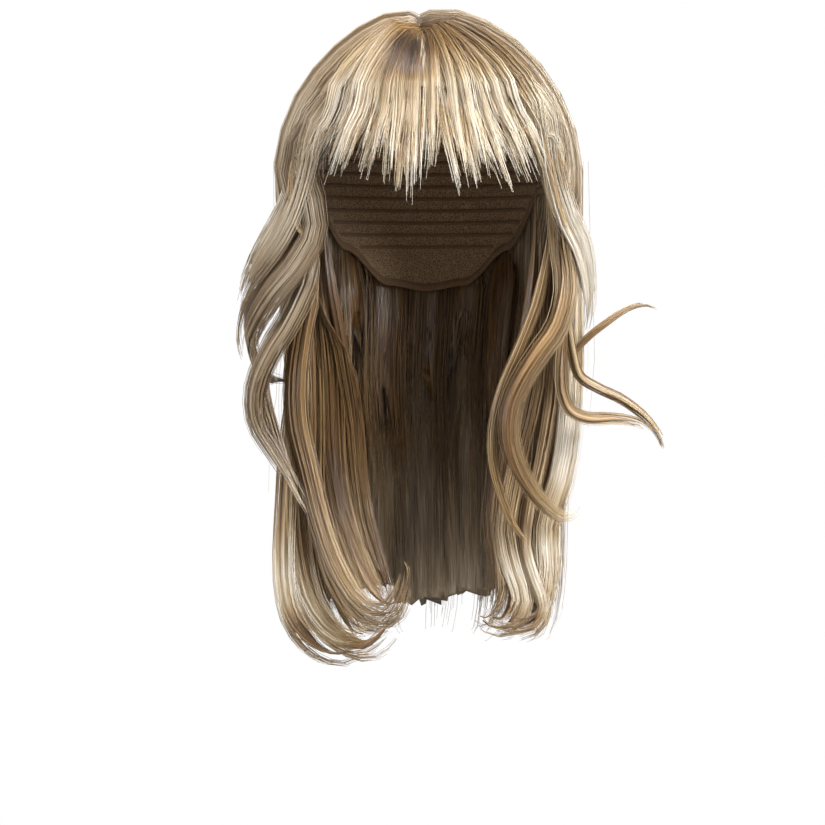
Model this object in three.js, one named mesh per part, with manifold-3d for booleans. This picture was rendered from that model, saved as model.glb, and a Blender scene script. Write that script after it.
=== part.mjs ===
// A long layered wig with a thin fringe, held as it hangs on a head.
// Millimetres, +Z up, the face opening towards -Y, and the origin at the inside top of the cap.
// "left" and "right" are the viewer's, seen from the front.
import * as THREE from "three";
import { mergeVertices } from "three/addons/utils/BufferGeometryUtils.js";
import Module from "manifold-3d";

const wasm = await Module();
wasm.setup();

// The inside of the cap
const headBreadth = 152; // ear to ear
const headLength = 190; // forehead to the back of the head
const crownRise = 86; // from the widest level up to the top
const headTaperDepth = 120; // from the widest level down to where the head would close
const capWall = 1.6;
const capStep = 10; // degrees between the cap's columns
const capRows = 7;

// The hair
const hairLength = 370; // top of the head to the lowest curl
const topLift = 15; // thickness of hair on top of the cap
const sideLift = 17.5; // thickness of hair over the cap's widest level
const rimThinning = 0.4; // share of that thickness that the crown's hair loses towards its lower edge
const lengthLift = 10; // from the cap's inside to the crown's inner face over the long hair
const partingSide = -4; // how far the parting lies off the middle
const partingFront = -52; // where it starts, ahead of the top
const partingBack = 34; // where it ends, behind the top
const partingDepth = 5; // how deep the hair dips along it
const partingDip = 7; // half the width of that dip
const ridgeHeight = 1.1; // of the locks in the crown's outer face
const ridgeCount = 11;
const lockWidth = 34;
const lockThickness = 13;
const stripWidth = 14; // of a strip of the fringe
const stripThickness = 2.6;
const fringeLift = 1.2; // from the cap's outside to the middle of a strip, where it starts
const fringeStandOff = 10; // and where it hangs clear of the forehead
const fringeRoom = 8.6; // from the cap's inside to the crown's inner face over the strips
const pieceGap = 0.3; // between pieces that touch

const halfBreadth = headBreadth / 2;
const halfLength = headLength / 2;
const radians = THREE.MathUtils.degToRad;
const clamp = THREE.MathUtils.clamp;
const lerp = THREE.MathUtils.lerp;
const smooth = (x) => THREE.MathUtils.smoothstep(x, 0, 1);
const fromFront = (turn) => Math.abs(((turn + 540) % 360) - 180); // degrees, the same on both sides

// A short table with named columns, a row for each section.
function table(columns, rows) {
  const names = columns.split(" ");
  return rows.map((row) => Object.fromEntries(names.map((name, i) => [name, row[i]])));
}

// The value of one column at x, eased from row to row of a table that is sorted by its first column.
function lookUp(rows, x, from, to) {
  const after = Math.max(1, rows.findIndex((row) => row[from] >= x));
  const [a, b] = [rows[after - 1], rows[after]];
  return lerp(a[to], b[to], smooth((x - a[from]) / (b[from] - a[from])));
}

// Shape of the head that the cap fits: fall is 0 at the top, 1 at the widest level, 2 as far below again.
function headWidthShare(fall) {
  if (fall <= 1) return Math.sin((fall * Math.PI) / 2);
  const below = ((fall - 1) * crownRise) / headTaperDepth;
  return (1 - clamp(below, 0, 1) ** 2.2) ** (1 / 2.2);
}

function headPoint(turn, fall, lift) {
  const share = headWidthShare(fall);
  const angle = radians(turn);
  const height = fall <= 1 ? (crownRise + lift) * Math.cos((fall * Math.PI) / 2) : (1 - fall) * crownRise;
  return new THREE.Vector3(
    (halfBreadth * share + lift * Math.min(1, share)) * Math.sin(angle),
    -(halfLength * share + lift * Math.min(1, share)) * Math.cos(angle),
    height - crownRise,
  );
}

// Solids

function solidFrom(points, triangles) {
  const raw = new THREE.BufferGeometry();
  raw.setAttribute("position", new THREE.Float32BufferAttribute(points.flatMap((p) => [p.x, p.y, p.z]), 3));
  raw.setIndex(triangles.flat());
  const merged = mergeVertices(raw, 1e-3);
  const index = merged.index.array;
  const kept = [];
  for (let i = 0; i < index.length; i += 3) {
    const [a, b, c] = index.slice(i, i + 3);
    if (a !== b && b !== c && c !== a) kept.push(a, b, c);
  }
  const mesh = new wasm.Mesh({
    numProp: 3,
    vertProperties: merged.attributes.position.array,
    triVerts: new Uint32Array(kept),
  });
  return new wasm.Manifold(mesh);
}

// A closed solid through rings of points, each end closed by a fan to its own point.
// A first ring that is folded flat on a line needs no fan.
function solidThroughRings(rings, firstEnd, lastEnd) {
  const size = rings[0].length;
  const points = rings.flat();
  const triangles = [];
  rings.slice(1).forEach((_, r) => {
    for (let i = 0; i < size; i++) {
      const next = (i + 1) % size;
      const [a, b] = [r * size + i, r * size + next];
      triangles.push([a, b, b + size], [a, b + size, a + size]);
    }
  });
  if (firstEnd) {
    for (let i = 0; i < size; i++) triangles.push([points.length, (i + 1) % size, i]);
    points.push(firstEnd);
  }
  const lastRing = (rings.length - 1) * size;
  for (let i = 0; i < size; i++) triangles.push([points.length, lastRing + i, lastRing + ((i + 1) % size)]);
  points.push(lastEnd);
  return solidFrom(points, triangles);
}

const middleOf = (ring) => ring.reduce((sum, p) => sum.add(p), new THREE.Vector3()).divideScalar(ring.length);

// The largest body of a cut solid, without the slivers that the cut leaves beside it.
function withoutSlivers(solid) {
  return solid.decompose().sort((a, b) => b.volume() - a.volume())[0];
}

function turnsRound(step) {
  return Array.from({ length: Math.round(360 / step) }, (_, i) => i * step);
}

// The cap

// How far down the cap reaches, from the forehead round to the nape, the same on both sides.
const capEdge = table("turn fall", [
  [0, 0.57],
  [34, 0.61],
  [58, 0.86],
  [74, 1.26],
  [86, 1.28],
  [99, 1.02],
  [116, 1.06],
  [138, 1.45],
  [160, 1.7],
  [180, 1.74],
]);

const capReach = (turn) => lookUp(capEdge, fromFront(turn), "turn", "fall");

function capRing(share, lift, grow) {
  const reach = (turn) => (capReach(turn) + grow / crownRise) * share;
  return turnsRound(capStep).map((turn) => headPoint(-turn, reach(turn), lift));
}

const capShares = Array.from({ length: capRows }, (_, k) => (k + 1) / capRows);
const capRings = (lift, grow) => capShares.map((share) => capRing(share, lift, grow));

function makeCap() {
  const rings = [...capRings(capWall, 0), ...capRings(0, 0).reverse()];
  return solidThroughRings(rings, headPoint(0, 0, capWall), headPoint(0, 0, 0));
}

// The space that the cap and the head take up, which no hair enters, down to below the nape.
const roomFall = 2.05;

function makeRoom() {
  const lift = capWall + pieceGap;
  const below = [0.3, 0.65, 1].map((share) =>
    turnsRound(capStep).map((turn) => {
      const edge = capReach(turn) + pieceGap / crownRise;
      return headPoint(-turn, edge + (roomFall - edge) * share, lift);
    }),
  );
  const rings = [...capRings(lift, pieceGap), ...below];
  return solidThroughRings(rings, headPoint(0, 0, lift), middleOf(below[2]));
}

// Locks of hair

// Frames along a path: each frame turns with the path and never about it.
function framesAlong(points, firstOut) {
  const last = points.length - 1;
  const tangents = points.map((_, i) =>
    points[Math.min(i + 1, last)].clone().sub(points[Math.max(i - 1, 0)]).normalize(),
  );
  let out = firstOut.clone();
  return tangents.map((tangent) => {
    out = out.clone().addScaledVector(tangent, -out.dot(tangent)).normalize();
    return { tangent, out, across: new THREE.Vector3().crossVectors(tangent, out) };
  });
}

// Full along the middle and thinner at the root and tip.
function fullness(share, root, tip) {
  return lerp(root, 1, smooth(share / 0.2)) * lerp(1, tip, smooth(share * 2 - 1));
}

// A lock swept along its path, widest across the head's surface.
function lockSolid(lock, grow) {
  const curve = new THREE.CatmullRomCurve3(lock.path, false, "centripetal");
  const points = curve.getPoints(lock.steps);
  const start = points[0];
  const firstOut = new THREE.Vector3(start.x / halfBreadth ** 2, start.y / halfLength ** 2, 0).normalize();
  const frames = framesAlong(points, firstOut);
  if (grow) {
    points[0] = points[0].clone().addScaledVector(frames[0].tangent, -grow);
    points[lock.steps] = points[lock.steps].clone().addScaledVector(frames[lock.steps].tangent, grow);
  }
  const rings = points.map((point, i) => {
    const size = fullness(i / lock.steps, lock.root, lock.tip);
    const halfWidth = (lock.width / 2) * size + grow;
    const halfThickness = (lock.thickness / 2) * size ** 0.5 + grow;
    return Array.from({ length: lock.sides }, (_, k) => {
      const angle = ((k + 0.5) / lock.sides) * 2 * Math.PI;
      return point
        .clone()
        .addScaledVector(frames[i].across, -halfWidth * Math.cos(angle))
        .addScaledVector(frames[i].out, halfThickness * Math.sin(angle));
    });
  });
  return solidThroughRings(rings, middleOf(rings[0]), middleOf(rings.at(-1)));
}

// The height of a drop, which is 0 at the top, 1 at the head's widest level and 2 at the lowest curl.
const levelOf = (drop) => -crownRise * Math.min(drop, 1) - (hairLength - crownRise) * Math.max(drop - 1, 0);

// A point given by shares: side of half the head's breadth, depth of half its length, and its drop.
const place = ({ side, depth, drop }) =>
  new THREE.Vector3(side * halfBreadth, depth * halfLength, levelOf(drop));

// Width and thickness are shares of the driving ones, and root and tip are shares of the lock's own width.
const lockAlong = (path, { width, thickness, root = 0.65, tip = 0.3, steps, sides = 8 }) => ({
  path,
  width: width * lockWidth,
  thickness: thickness * lockThickness,
  root,
  tip,
  steps,
  sides,
});

const lock = (shape, rows) => lockAlong(table("side depth drop", rows).map(place), shape);

// The locks beside the face.
const faceLocks = {
  side_length_left: [
    lock({ width: 1.35, thickness: 1.35, tip: 0.45, steps: 12 }, [
      [-1.06, 0.06, 0.86],
      [-1.04, 0.08, 1.245],
      [-0.98, 0.06, 1.42],
      [-1.04, -0.02, 1.56],
      [-1.07, -0.05, 1.7],
      [-1.07, -0.12, 1.83],
      [-1.01, -0.19, 1.905],
      [-0.87, -0.27, 1.95],
      [-0.68, -0.35, 1.968],
      [-0.5, -0.42, 1.945],
    ]),
    lock({ width: 1.2, thickness: 1.2, tip: 0.5, steps: 10 }, [
      [-1.0, 0.34, 0.86],
      [-0.95, 0.37, 1.245],
      [-0.86, 0.37, 1.455],
      [-0.78, 0.34, 1.61],
      [-0.74, 0.27, 1.75],
      [-0.72, 0.15, 1.86],
      [-0.58, 0.02, 1.935],
      [-0.42, -0.08, 1.94],
    ]),
  ],
  side_length_right: [
    lock({ width: 1.25, thickness: 1.3, tip: 0.45, steps: 12 }, [
      [1.08, 0.06, 0.86],
      [1.09, 0.08, 1.245],
      [1.08, 0.06, 1.455],
      [1.02, 0, 1.595],
      [0.89, -0.06, 1.72],
      [0.9, -0.11, 1.82],
      [0.84, -0.19, 1.89],
      [0.68, -0.28, 1.915],
      [0.52, -0.35, 1.9],
    ]),
    lock({ width: 1.2, thickness: 1.2, tip: 0.5, steps: 10 }, [
      [1.0, 0.34, 0.86],
      [0.95, 0.37, 1.245],
      [0.85, 0.37, 1.455],
      [0.78, 0.34, 1.61],
      [0.74, 0.27, 1.74],
      [0.7, 0.15, 1.85],
      [0.58, 0.03, 1.91],
      [0.44, -0.07, 1.895],
    ]),
  ],
  wing_left_upper: [
    lock({ width: 0.95, thickness: 0.9, tip: 0.35, steps: 9 }, [
      [-0.93, -0.56, 0.925],
      [-1.03, -0.51, 1.06],
      [-1.18, -0.43, 1.13],
      [-1.32, -0.33, 1.185],
      [-1.41, -0.23, 1.235],
    ]),
  ],
  wing_left_middle: [
    lock({ width: 1.05, thickness: 0.9, steps: 10 }, [
      [-0.9, -0.53, 1.09],
      [-1.02, -0.51, 1.155],
      [-1.2, -0.44, 1.215],
      [-1.33, -0.34, 1.275],
      [-1.38, -0.26, 1.325],
      [-1.36, -0.2, 1.37],
    ]),
  ],
  wing_left_lower: [
    lock({ width: 0.65, thickness: 0.75, steps: 15 }, [
      [-0.88, -0.42, 1.16],
      [-1.02, -0.44, 1.27],
      [-1.2, -0.42, 1.35],
      [-1.31, -0.38, 1.425],
      [-1.3, -0.36, 1.495],
      [-1.17, -0.38, 1.555],
      [-1.03, -0.44, 1.615],
      [-0.93, -0.48, 1.665],
      [-0.87, -0.45, 1.685],
    ]),
  ],
  front_lock_left: [
    lock({ width: 0.6, thickness: 0.75, tip: 0.45, steps: 18 }, [
      [-0.87, -0.3, 1.215],
      [-0.95, -0.33, 1.305],
      [-1.0, -0.33, 1.4],
      [-0.99, -0.31, 1.495],
      [-0.91, -0.33, 1.59],
      [-0.82, -0.38, 1.685],
      [-0.69, -0.47, 1.785],
      [-0.48, -0.6, 1.865],
      [-0.29, -0.71, 1.87],
      [-0.19, -0.76, 1.82],
    ]),
  ],
  front_lock_right: [
    lock({ width: 0.62, thickness: 0.75, steps: 17 }, [
      [1.0, -0.44, 1.125],
      [1.04, -0.5, 1.225],
      [0.97, -0.53, 1.3],
      [0.84, -0.55, 1.35],
      [0.71, -0.57, 1.405],
      [0.62, -0.57, 1.465],
      [0.62, -0.55, 1.535],
      [0.7, -0.53, 1.595],
      [0.84, -0.51, 1.65],
      [0.99, -0.47, 1.685],
      [1.1, -0.42, 1.685],
    ]),
  ],
  side_lock_right: [
    lock({ width: 0.75, thickness: 0.75, steps: 9 }, [
      [0.93, -0.56, 0.925],
      [1.03, -0.51, 1.07],
      [1.14, -0.43, 1.13],
      [1.2, -0.34, 1.195],
      [1.23, -0.27, 1.27],
      [1.2, -0.23, 1.325],
    ]),
  ],
  flick_right_lower: [
    lock({ width: 0.32, thickness: 0.45, steps: 13, sides: 6 }, [
      [1.03, -0.4, 1.31],
      [1.02, -0.43, 1.425],
      [1.09, -0.43, 1.47],
      [1.22, -0.42, 1.485],
      [1.42, -0.38, 1.485],
      [1.62, -0.33, 1.495],
      [1.76, -0.28, 1.525],
    ]),
  ],
  flick_right_middle: [
    lock({ width: 0.24, thickness: 0.4, steps: 13, sides: 6 }, [
      [1.06, -0.34, 1.27],
      [1.1, -0.35, 1.35],
      [1.16, -0.33, 1.4],
      [1.3, -0.31, 1.425],
      [1.5, -0.27, 1.45],
      [1.69, -0.23, 1.49],
      [1.8, -0.2, 1.53],
      [1.84, -0.17, 1.565],
    ]),
  ],
  flick_right_upper: [
    lock({ width: 0.2, thickness: 0.35, steps: 11, sides: 6 }, [
      [1.1, -0.2, 1.36],
      [1.22, -0.21, 1.325],
      [1.36, -0.21, 1.295],
      [1.53, -0.18, 1.265],
      [1.68, -0.13, 1.255],
      [1.79, -0.09, 1.265],
    ]),
  ],
  temple_lock_left: [
    lock({ width: 0.4, thickness: 0.45, tip: 0.4, steps: 8, sides: 6 }, [
      [-0.93, -0.64, 0.87],
      [-0.97, -0.62, 0.98],
      [-0.98, -0.6, 1.06],
      [-0.95, -0.61, 1.1],
      [-0.89, -0.63, 1.115],
    ]),
  ],
  temple_lock_right: [
    lock({ width: 0.42, thickness: 0.45, tip: 0.5, steps: 8, sides: 6 }, [
      [0.86, -0.69, 0.8],
      [0.91, -0.67, 0.93],
      [0.95, -0.63, 1.04],
      [1.02, -0.61, 1.1],
      [1.07, -0.58, 1.145],
    ]),
  ],
};

// The long hair behind hangs from the cap's widest level in a row of like locks.
const backHang = table("drop out sway drift", [
  [0.69, 0.06, 0, 0],
  [1.01, 0.09, 0, 0],
  [1.19, 0.12, 1.5, 0],
  [1.375, 0.11, -1, 0],
  [1.555, 0.13, 1.5, -0.03],
  [1.74, 0.12, 0, -0.05],
  [1.87, 0.1, -1, -0.06],
  [1.955, 0.01, -1, -0.06],
  [1.965, -0.13, 0, -0.05],
]);
const napeHang = table("drop out sway drift", [
  [1.125, 0.075, 0, 0],
  [1.255, 0.07, 0, 0],
  [1.415, 0.02, 2, 0],
  [1.585, -0.03, 0, 0],
  [1.715, -0.08, -2, 0],
]);

// One of a row of like locks, at its turn round the head. It follows the head down to a fall of lastHold.
// out is how far it stands off and drift how far it hangs to the right, as shares of half the head's breadth.
function hangingLock(turn, hang, lastHold, shape) {
  const path = hang.map(({ drop, out, sway, drift }) => {
    const height = levelOf(drop);
    const onDome = (2 / Math.PI) * Math.acos(Math.max(0, 1 + height / crownRise));
    const fall = Math.max(onDome, -height / crownRise);
    const share = headWidthShare(Math.min(fall, lastHold));
    const angle = radians(turn + sway);
    return new THREE.Vector3(
      ((share + out) * Math.sin(angle) + drift) * halfBreadth,
      -(share * halfLength + out * halfBreadth) * Math.cos(angle),
      height,
    );
  });
  return lockAlong(path, shape);
}

const backLocks = [120, 140, 160, 180, 200, 220, 240].map((turn) =>
  hangingLock(turn, backHang, 1, { width: 1.4, thickness: 1.2, tip: 0.75, steps: 7, sides: 6 }),
);
const napeLocks = [142, 161, 180, 199, 218].map((turn) =>
  hangingLock(turn, napeHang, 1.7, { width: 0.95, thickness: 0.6, tip: 0.5, steps: 7, sides: 6 }),
);

// The fringe: each strip leaves the crown's front and fans out over the forehead. brow is where it crosses
// the front edge of the cap and end is its tip, both as shares of half the head's breadth.
const fringeStrips = table("brow end tipFall width", [
  [-0.57, -0.8, 1.04, 1.2],
  [-0.48, -0.68, 1.07, 1],
  [-0.4, -0.57, 1.06, 1],
  [-0.32, -0.46, 1.07, 0.8],
  [-0.25, -0.34, 1.05, 0.9],
  [-0.17, -0.21, 1.18, 1],
  [-0.09, -0.1, 1.27, 1],
  [0.03, -0.01, 1.07, 0.7],
  [0.13, 0.25, 1.17, 1],
  [0.24, 0.37, 1.16, 1.1],
  [0.33, 0.54, 1.13, 1.15],
  [0.42, 0.65, 1.07, 0.8],
  [0.54, 0.76, 1.06, 1],
  [0.65, 0.88, 1.06, 1.2],
]);
const fringeStart = 0.44; // fall where the strips begin, under the crown
const browFall = 0.66; // fall of the cap's front edge, where they come out

// A point over the cap at a share of half the head's breadth, ahead of the ears.
function overCap(side, fall, lift) {
  const turn = Math.asin(clamp(side / headWidthShare(fall), -1, 1));
  return headPoint(THREE.MathUtils.radToDeg(turn), fall, capWall + lift);
}

function fringeStrip({ brow, end, tipFall, width }) {
  const path = [
    overCap(brow * 0.6, fringeStart, fringeLift),
    overCap(brow, browFall, fringeLift * 3.6),
    overCap((brow + end) / 2, (browFall + tipFall) / 2, fringeStandOff * 0.9),
    overCap(end, tipFall, fringeStandOff),
  ];
  const shape = { root: 1.05, tip: 0.4, steps: 5, sides: 4 };
  return { path, width: width * stripWidth, thickness: stripThickness, ...shape };
}

// The top layer

// How far down the top layer reaches, round the head from the forehead by the viewer's right.
const crownEdge = table("turn fall", [
  [0, 0.64],
  [36, 0.7],
  [52, 0.92],
  [66, 1.35],
  [84, 1.86],
  [100, 1.9],
  [135, 2.05],
  [180, 2.15],
  [225, 2.0],
  [262, 1.4],
  [280, 1.3],
  [296, 1.2],
  [310, 0.92],
  [324, 0.7],
  [360, 0.64],
]);
const crownColumns = 44;
const crownShares = [0, 0.06, 0.14, 0.25, 0.38, 0.52, 0.66, 0.79, 0.9, 1]; // of the way down to it

// The parting's point that the hair at this turn leaves.
function partingPoint(turn) {
  const along = smooth((fromFront(turn) - 40) / 110);
  return new THREE.Vector3(partingSide, lerp(partingFront, partingBack, along), 0);
}

// A point of the crown's outer face, on the way from the parting down to the rim.
function crownPoint(turn, share, grow) {
  const fall = share * (lookUp(crownEdge, turn, "turn", "fall") + grow / crownRise);
  const root = partingPoint(turn);
  const angle = radians(turn);
  const way = Math.sin((Math.min(fall, 1) * Math.PI) / 2);
  const run = Math.hypot(halfBreadth * Math.sin(angle) - root.x, halfLength * Math.cos(angle) + root.y) * way;
  const dip = partingDepth * Math.exp(-((run / partingDip) ** 2));
  const ridge = ridgeHeight * Math.sin(angle * ridgeCount) * smooth(way * 1.6);
  const thinning = 1 - rimThinning * smooth((share - 0.75) / 0.25);
  const lift = capWall + lerp(topLift, sideLift, smooth(fall)) * thinning - dip + ridge + grow;
  const [reachX, reachY] = [halfBreadth + lift, halfLength + lift];
  const edge = new THREE.Vector3(reachX * Math.sin(angle), -reachY * Math.cos(angle), 0);
  const plan = root.clone().lerp(edge, way);
  const inside = 1 - (plan.x / reachX) ** 2 - (plan.y / reachY) ** 2;
  const height = fall <= 1 ? (crownRise + lift) * Math.sqrt(Math.max(0, inside)) : (1 - fall) * crownRise;
  return new THREE.Vector3(plan.x, plan.y, height - crownRise);
}

// A point of its inner face before the cap is cut out of it. This leaves room for the fringe in front
// and for the long hair at the sides and behind.
function bedPoint(turn, share, grow) {
  const fall = share * (lookUp(crownEdge, turn, "turn", "fall") + grow / crownRise);
  const forFringe = fringeRoom * smooth((80 - fromFront(turn)) / 30) * smooth(fall / 0.6);
  const forLength = lengthLift * smooth((fromFront(turn) - 50) / 30) * smooth((fall - 0.5) / 0.5);
  const point = headPoint(turn, Math.min(fall, 1), forFringe + forLength - grow);
  if (fall > 1) point.z = -fall * crownRise;
  return point;
}

function makeCrown(grow) {
  const turns = turnsRound(360 / crownColumns).map((turn) => (360 - turn) % 360);
  const ring = (point, share) => turns.map((turn) => point(turn, share, grow));
  const outer = crownShares.map((share) => ring(crownPoint, share));
  const inner = crownShares.slice(2).map((share) => ring(bedPoint, share));
  const rings = [...outer, ...inner.reverse()];
  return solidThroughRings(rings, null, bedPoint(0, 0, grow));
}

// The wig

const joined = (locks, grow) => wasm.Manifold.union(locks.map((lock) => lockSolid(lock, grow)));
const room = makeRoom();
const crown = makeCrown(0);
const solids = new Map([["cap", makeCap()], ["crown_hair", withoutSlivers(crown.subtract(room))]]);
let taken = room.add(crown).add(makeCrown(pieceGap)); // what later pieces are cut back from

// Adds one piece of hair, cut back from the head and from the pieces before it.
function addHair(name, locks) {
  solids.set(name, withoutSlivers(joined(locks, 0).subtract(taken)));
  taken = taken.add(joined(locks, pieceGap));
}

addHair("fringe", fringeStrips.map(fringeStrip));
addHair("nape_hair", napeLocks);
addHair("back_length", backLocks);
for (const [name, locks] of Object.entries(faceLocks)) addHair(name, locks);

const colours = { cap: 0x6b5238, crown_hair: 0xb9a98c, fringe: 0xd8c9ad, nape_hair: 0x6f5638 };
const lengthColour = 0xae9a76;

function geometryOf(solid) {
  const { vertProperties, triVerts, numProp } = solid.getMesh();
  const geometry = new THREE.BufferGeometry();
  const position = new Float32Array((vertProperties.length / numProp) * 3);
  for (let i = 0; i < position.length / 3; i++)
    position.set(vertProperties.subarray(i * numProp, i * numProp + 3), i * 3);
  geometry.setAttribute("position", new THREE.BufferAttribute(position, 3));
  geometry.setIndex(new THREE.BufferAttribute(triVerts, 1));
  geometry.computeVertexNormals();
  return geometry;
}

const wig = new THREE.Group();
for (const [name, solid] of solids) {
  const color = colours[name] ?? lengthColour;
  const material = new THREE.MeshStandardMaterial({ color, roughness: 0.4, metalness: 0 });
  const mesh = new THREE.Mesh(geometryOf(solid), material);
  mesh.name = name;
  wig.add(mesh);
}

export default wig;
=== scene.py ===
# Looks of a long layered wig with a thin fringe: its net cap, the bodies of its locks and the loose strands.
# Metres, +Z up, the open front towards -Y. Left and right are the viewer's, seen from the front.
import math
from functools import partial

import bmesh
import bpy
import numpy as np
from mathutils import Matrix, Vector


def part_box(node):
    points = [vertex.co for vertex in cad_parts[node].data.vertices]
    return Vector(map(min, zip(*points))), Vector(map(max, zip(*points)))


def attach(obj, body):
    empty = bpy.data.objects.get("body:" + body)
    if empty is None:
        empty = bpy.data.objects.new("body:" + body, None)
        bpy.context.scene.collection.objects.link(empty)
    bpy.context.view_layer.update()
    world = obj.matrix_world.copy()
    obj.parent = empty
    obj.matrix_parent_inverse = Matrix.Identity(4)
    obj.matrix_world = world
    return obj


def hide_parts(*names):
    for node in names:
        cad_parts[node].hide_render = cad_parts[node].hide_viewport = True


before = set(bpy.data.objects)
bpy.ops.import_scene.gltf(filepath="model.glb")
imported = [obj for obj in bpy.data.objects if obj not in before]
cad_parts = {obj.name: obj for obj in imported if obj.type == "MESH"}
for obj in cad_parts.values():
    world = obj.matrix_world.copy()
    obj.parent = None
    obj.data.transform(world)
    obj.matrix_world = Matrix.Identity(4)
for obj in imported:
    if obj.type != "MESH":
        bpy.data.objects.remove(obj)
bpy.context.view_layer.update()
mm = 0.001
scene = bpy.context.scene

# The dome inside the cap, with its breadth and length read from the cap
capLow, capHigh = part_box("cap")
capWall = 1.6 * mm
rise = 86 * mm  # from the widest level up to the top
taper = 120 * mm  # from the widest level down to where the dome would close
halfBreadth = (capHigh.x - capLow.x) / 2 - capWall
halfLength = capHigh.y - capWall
hairLength = 370 * mm  # top of the cap's inside to the lowest curl
taperPower = 2.2  # how square the dome is below its widest level

crownShape = {
    "topLift": 15 * mm,  # hair on top of the cap
    "sideLift": 17.5 * mm,  # hair over the cap's widest level
    "rimThinning": 0.4,
    "partingSide": -4 * mm,
    "partingFront": -52 * mm,
    "partingBack": 34 * mm,
    "partingDepth": 3.2 * mm,
    "partingDip": 9 * mm,
}


def smooth(x):
    x = min(max(x, 0.0), 1.0)
    return x * x * (3 - 2 * x)


def hump(x):
    return math.exp(-(x**2))


def lerp(a, b, t):
    return a + (b - a) * t


def lookUp(rows, x):  # eased from row to row of a table of pairs
    for (x0, y0), (x1, y1) in zip(rows, rows[1:]):
        if x <= x1:
            return lerp(y0, y1, smooth((x - x0) / (x1 - x0)))
    return rows[-1][1]


def fromFront(turn):
    return abs((turn + 180) % 360 - 180)


# Shape of the dome: fall is 0 at the top, 1 at the widest level and 2 as far below it again
def domeShare(fall):
    if fall <= 1:
        return math.sin(fall * math.pi / 2)
    below = min((fall - 1) * rise / taper, 1)
    return (1 - below**taperPower) ** (1 / taperPower)


def domePoint(turn, fall, lift):
    share = domeShare(fall)
    angle = math.radians(turn)
    height = (rise + lift) * math.cos(fall * math.pi / 2) if fall <= 1 else (1 - fall) * rise
    x = (halfBreadth * share + lift * min(1, share)) * math.sin(angle)
    y = -(halfLength * share + lift * min(1, share)) * math.cos(angle)
    return Vector((x, y, height - rise))


capEdge = [(0, 0.57), (34, 0.61), (58, 0.86), (74, 1.26), (86, 1.28), (99, 1.02), (116, 1.06), (138, 1.45),
           (160, 1.7), (180, 1.74)]
crownEdge = [(0, 0.64), (36, 0.7), (52, 0.92), (66, 1.35), (84, 1.86), (100, 1.9), (135, 2.05), (180, 2.15),
             (225, 2.0), (262, 1.4), (280, 1.3), (296, 1.2), (310, 0.92), (324, 0.7), (360, 0.64)]


def crownPoint(turn, share, above=0.0):  # of the outer face, on the way from the parting to the rim
    fall = share * lookUp(crownEdge, turn % 360)
    along = smooth((fromFront(turn) - 40) / 110)
    back = lerp(crownShape["partingFront"], crownShape["partingBack"], along)
    root = Vector((crownShape["partingSide"], back, 0))
    angle = math.radians(turn)
    way = math.sin(min(fall, 1) * math.pi / 2)
    run = math.hypot(halfBreadth * math.sin(angle) - root.x, halfLength * math.cos(angle) + root.y) * way
    dip = crownShape["partingDepth"] * hump(run / crownShape["partingDip"])
    thinning = 1 - crownShape["rimThinning"] * smooth((share - 0.75) / 0.25)
    lift = lerp(crownShape["topLift"], crownShape["sideLift"], smooth(fall)) * thinning
    lift += capWall - dip + above
    reachX, reachY = halfBreadth + lift, halfLength + lift
    plan = root.lerp(Vector((reachX * math.sin(angle), -reachY * math.cos(angle), 0)), way)
    inside = 1 - (plan.x / reachX) ** 2 - (plan.y / reachY) ** 2
    height = (rise + lift) * math.sqrt(max(0, inside)) if fall <= 1 else (1 - fall) * rise
    return Vector((plan.x, plan.y, height - rise))


settleRows = [(0, 0), (40, 2), (100, 2.5), (150, 0), (215, 0), (250, 4), (300, 5), (330, 3), (360, 0)]


def settled(turn, share):  # how far the loose hair lies below the crown's outer face
    return lookUp(settleRows, turn % 360) * mm * smooth(share / 0.4)


def levelOf(drop):  # 0 at the top, 1 at the widest level, 2 at the lowest curl
    return -rise * min(drop, 1) - (hairLength - rise) * max(drop - 1, 0)


def place(side, depth, drop):
    return Vector((side * halfBreadth, depth * halfLength, levelOf(drop)))


def pathThrough(points, count):  # a smooth path through the points, as many steps from each to the next
    ends = [points[0] * 2 - points[1], *points, points[-1] * 2 - points[-2]]
    path = []
    for i in range(count + 1):
        at = i / count * (len(points) - 1)
        k = min(int(at), len(points) - 2)
        w = at - k
        p0, p1, p2, p3 = ends[k : k + 4]
        d0, d1, d2 = [max((b - a).length, 1e-6) ** 0.5 for a, b in ((p0, p1), (p1, p2), (p2, p3))]
        t1 = ((p1 - p0) / d0 - (p2 - p0) / (d0 + d1) + (p2 - p1) / d1) * d1
        t2 = ((p2 - p1) / d1 - (p3 - p1) / (d1 + d2) + (p3 - p2) / d2) * d1
        path.append(p1 + t1 * w + (p2 * 3 - p1 * 3 - t1 * 2 - t2) * w**2 + (p1 * 2 - p2 * 2 + t1 + t2) * w**3)
    return path


# Guides: each is a path with half a width, half a thickness and a tone for every step

def lockGuide(path, width, thickness, root, tip, tone, count=40, lead=0):
    points = pathThrough(path, count)
    start = path[lead]
    out = Vector((start.x / halfBreadth**2, start.y / halfLength**2, 0)).normalized()
    rows = []
    for i, point in enumerate(points):
        share = i / count
        tangent = (points[min(i + 1, count)] - points[max(i - 1, 0)]).normalized()
        out = (out - tangent * out.dot(tangent)).normalized()
        across = tangent.cross(out)
        size = lerp(root, 1, smooth(share / 0.2)) * lerp(1, tip, smooth(share * 2 - 1))
        half = (width / 2 * size, thickness / 2 * size**0.5)
        rows.append((point, across * half[0], out * half[1], toneAt(tone, share)))
    return rows


def toneAt(tone, share):  # one tone, or a table of them along the guide
    return lookUp(tone, share) if isinstance(tone, list) else tone


overReach = 9 * mm  # how far the crown's hair swings out over the length


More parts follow.
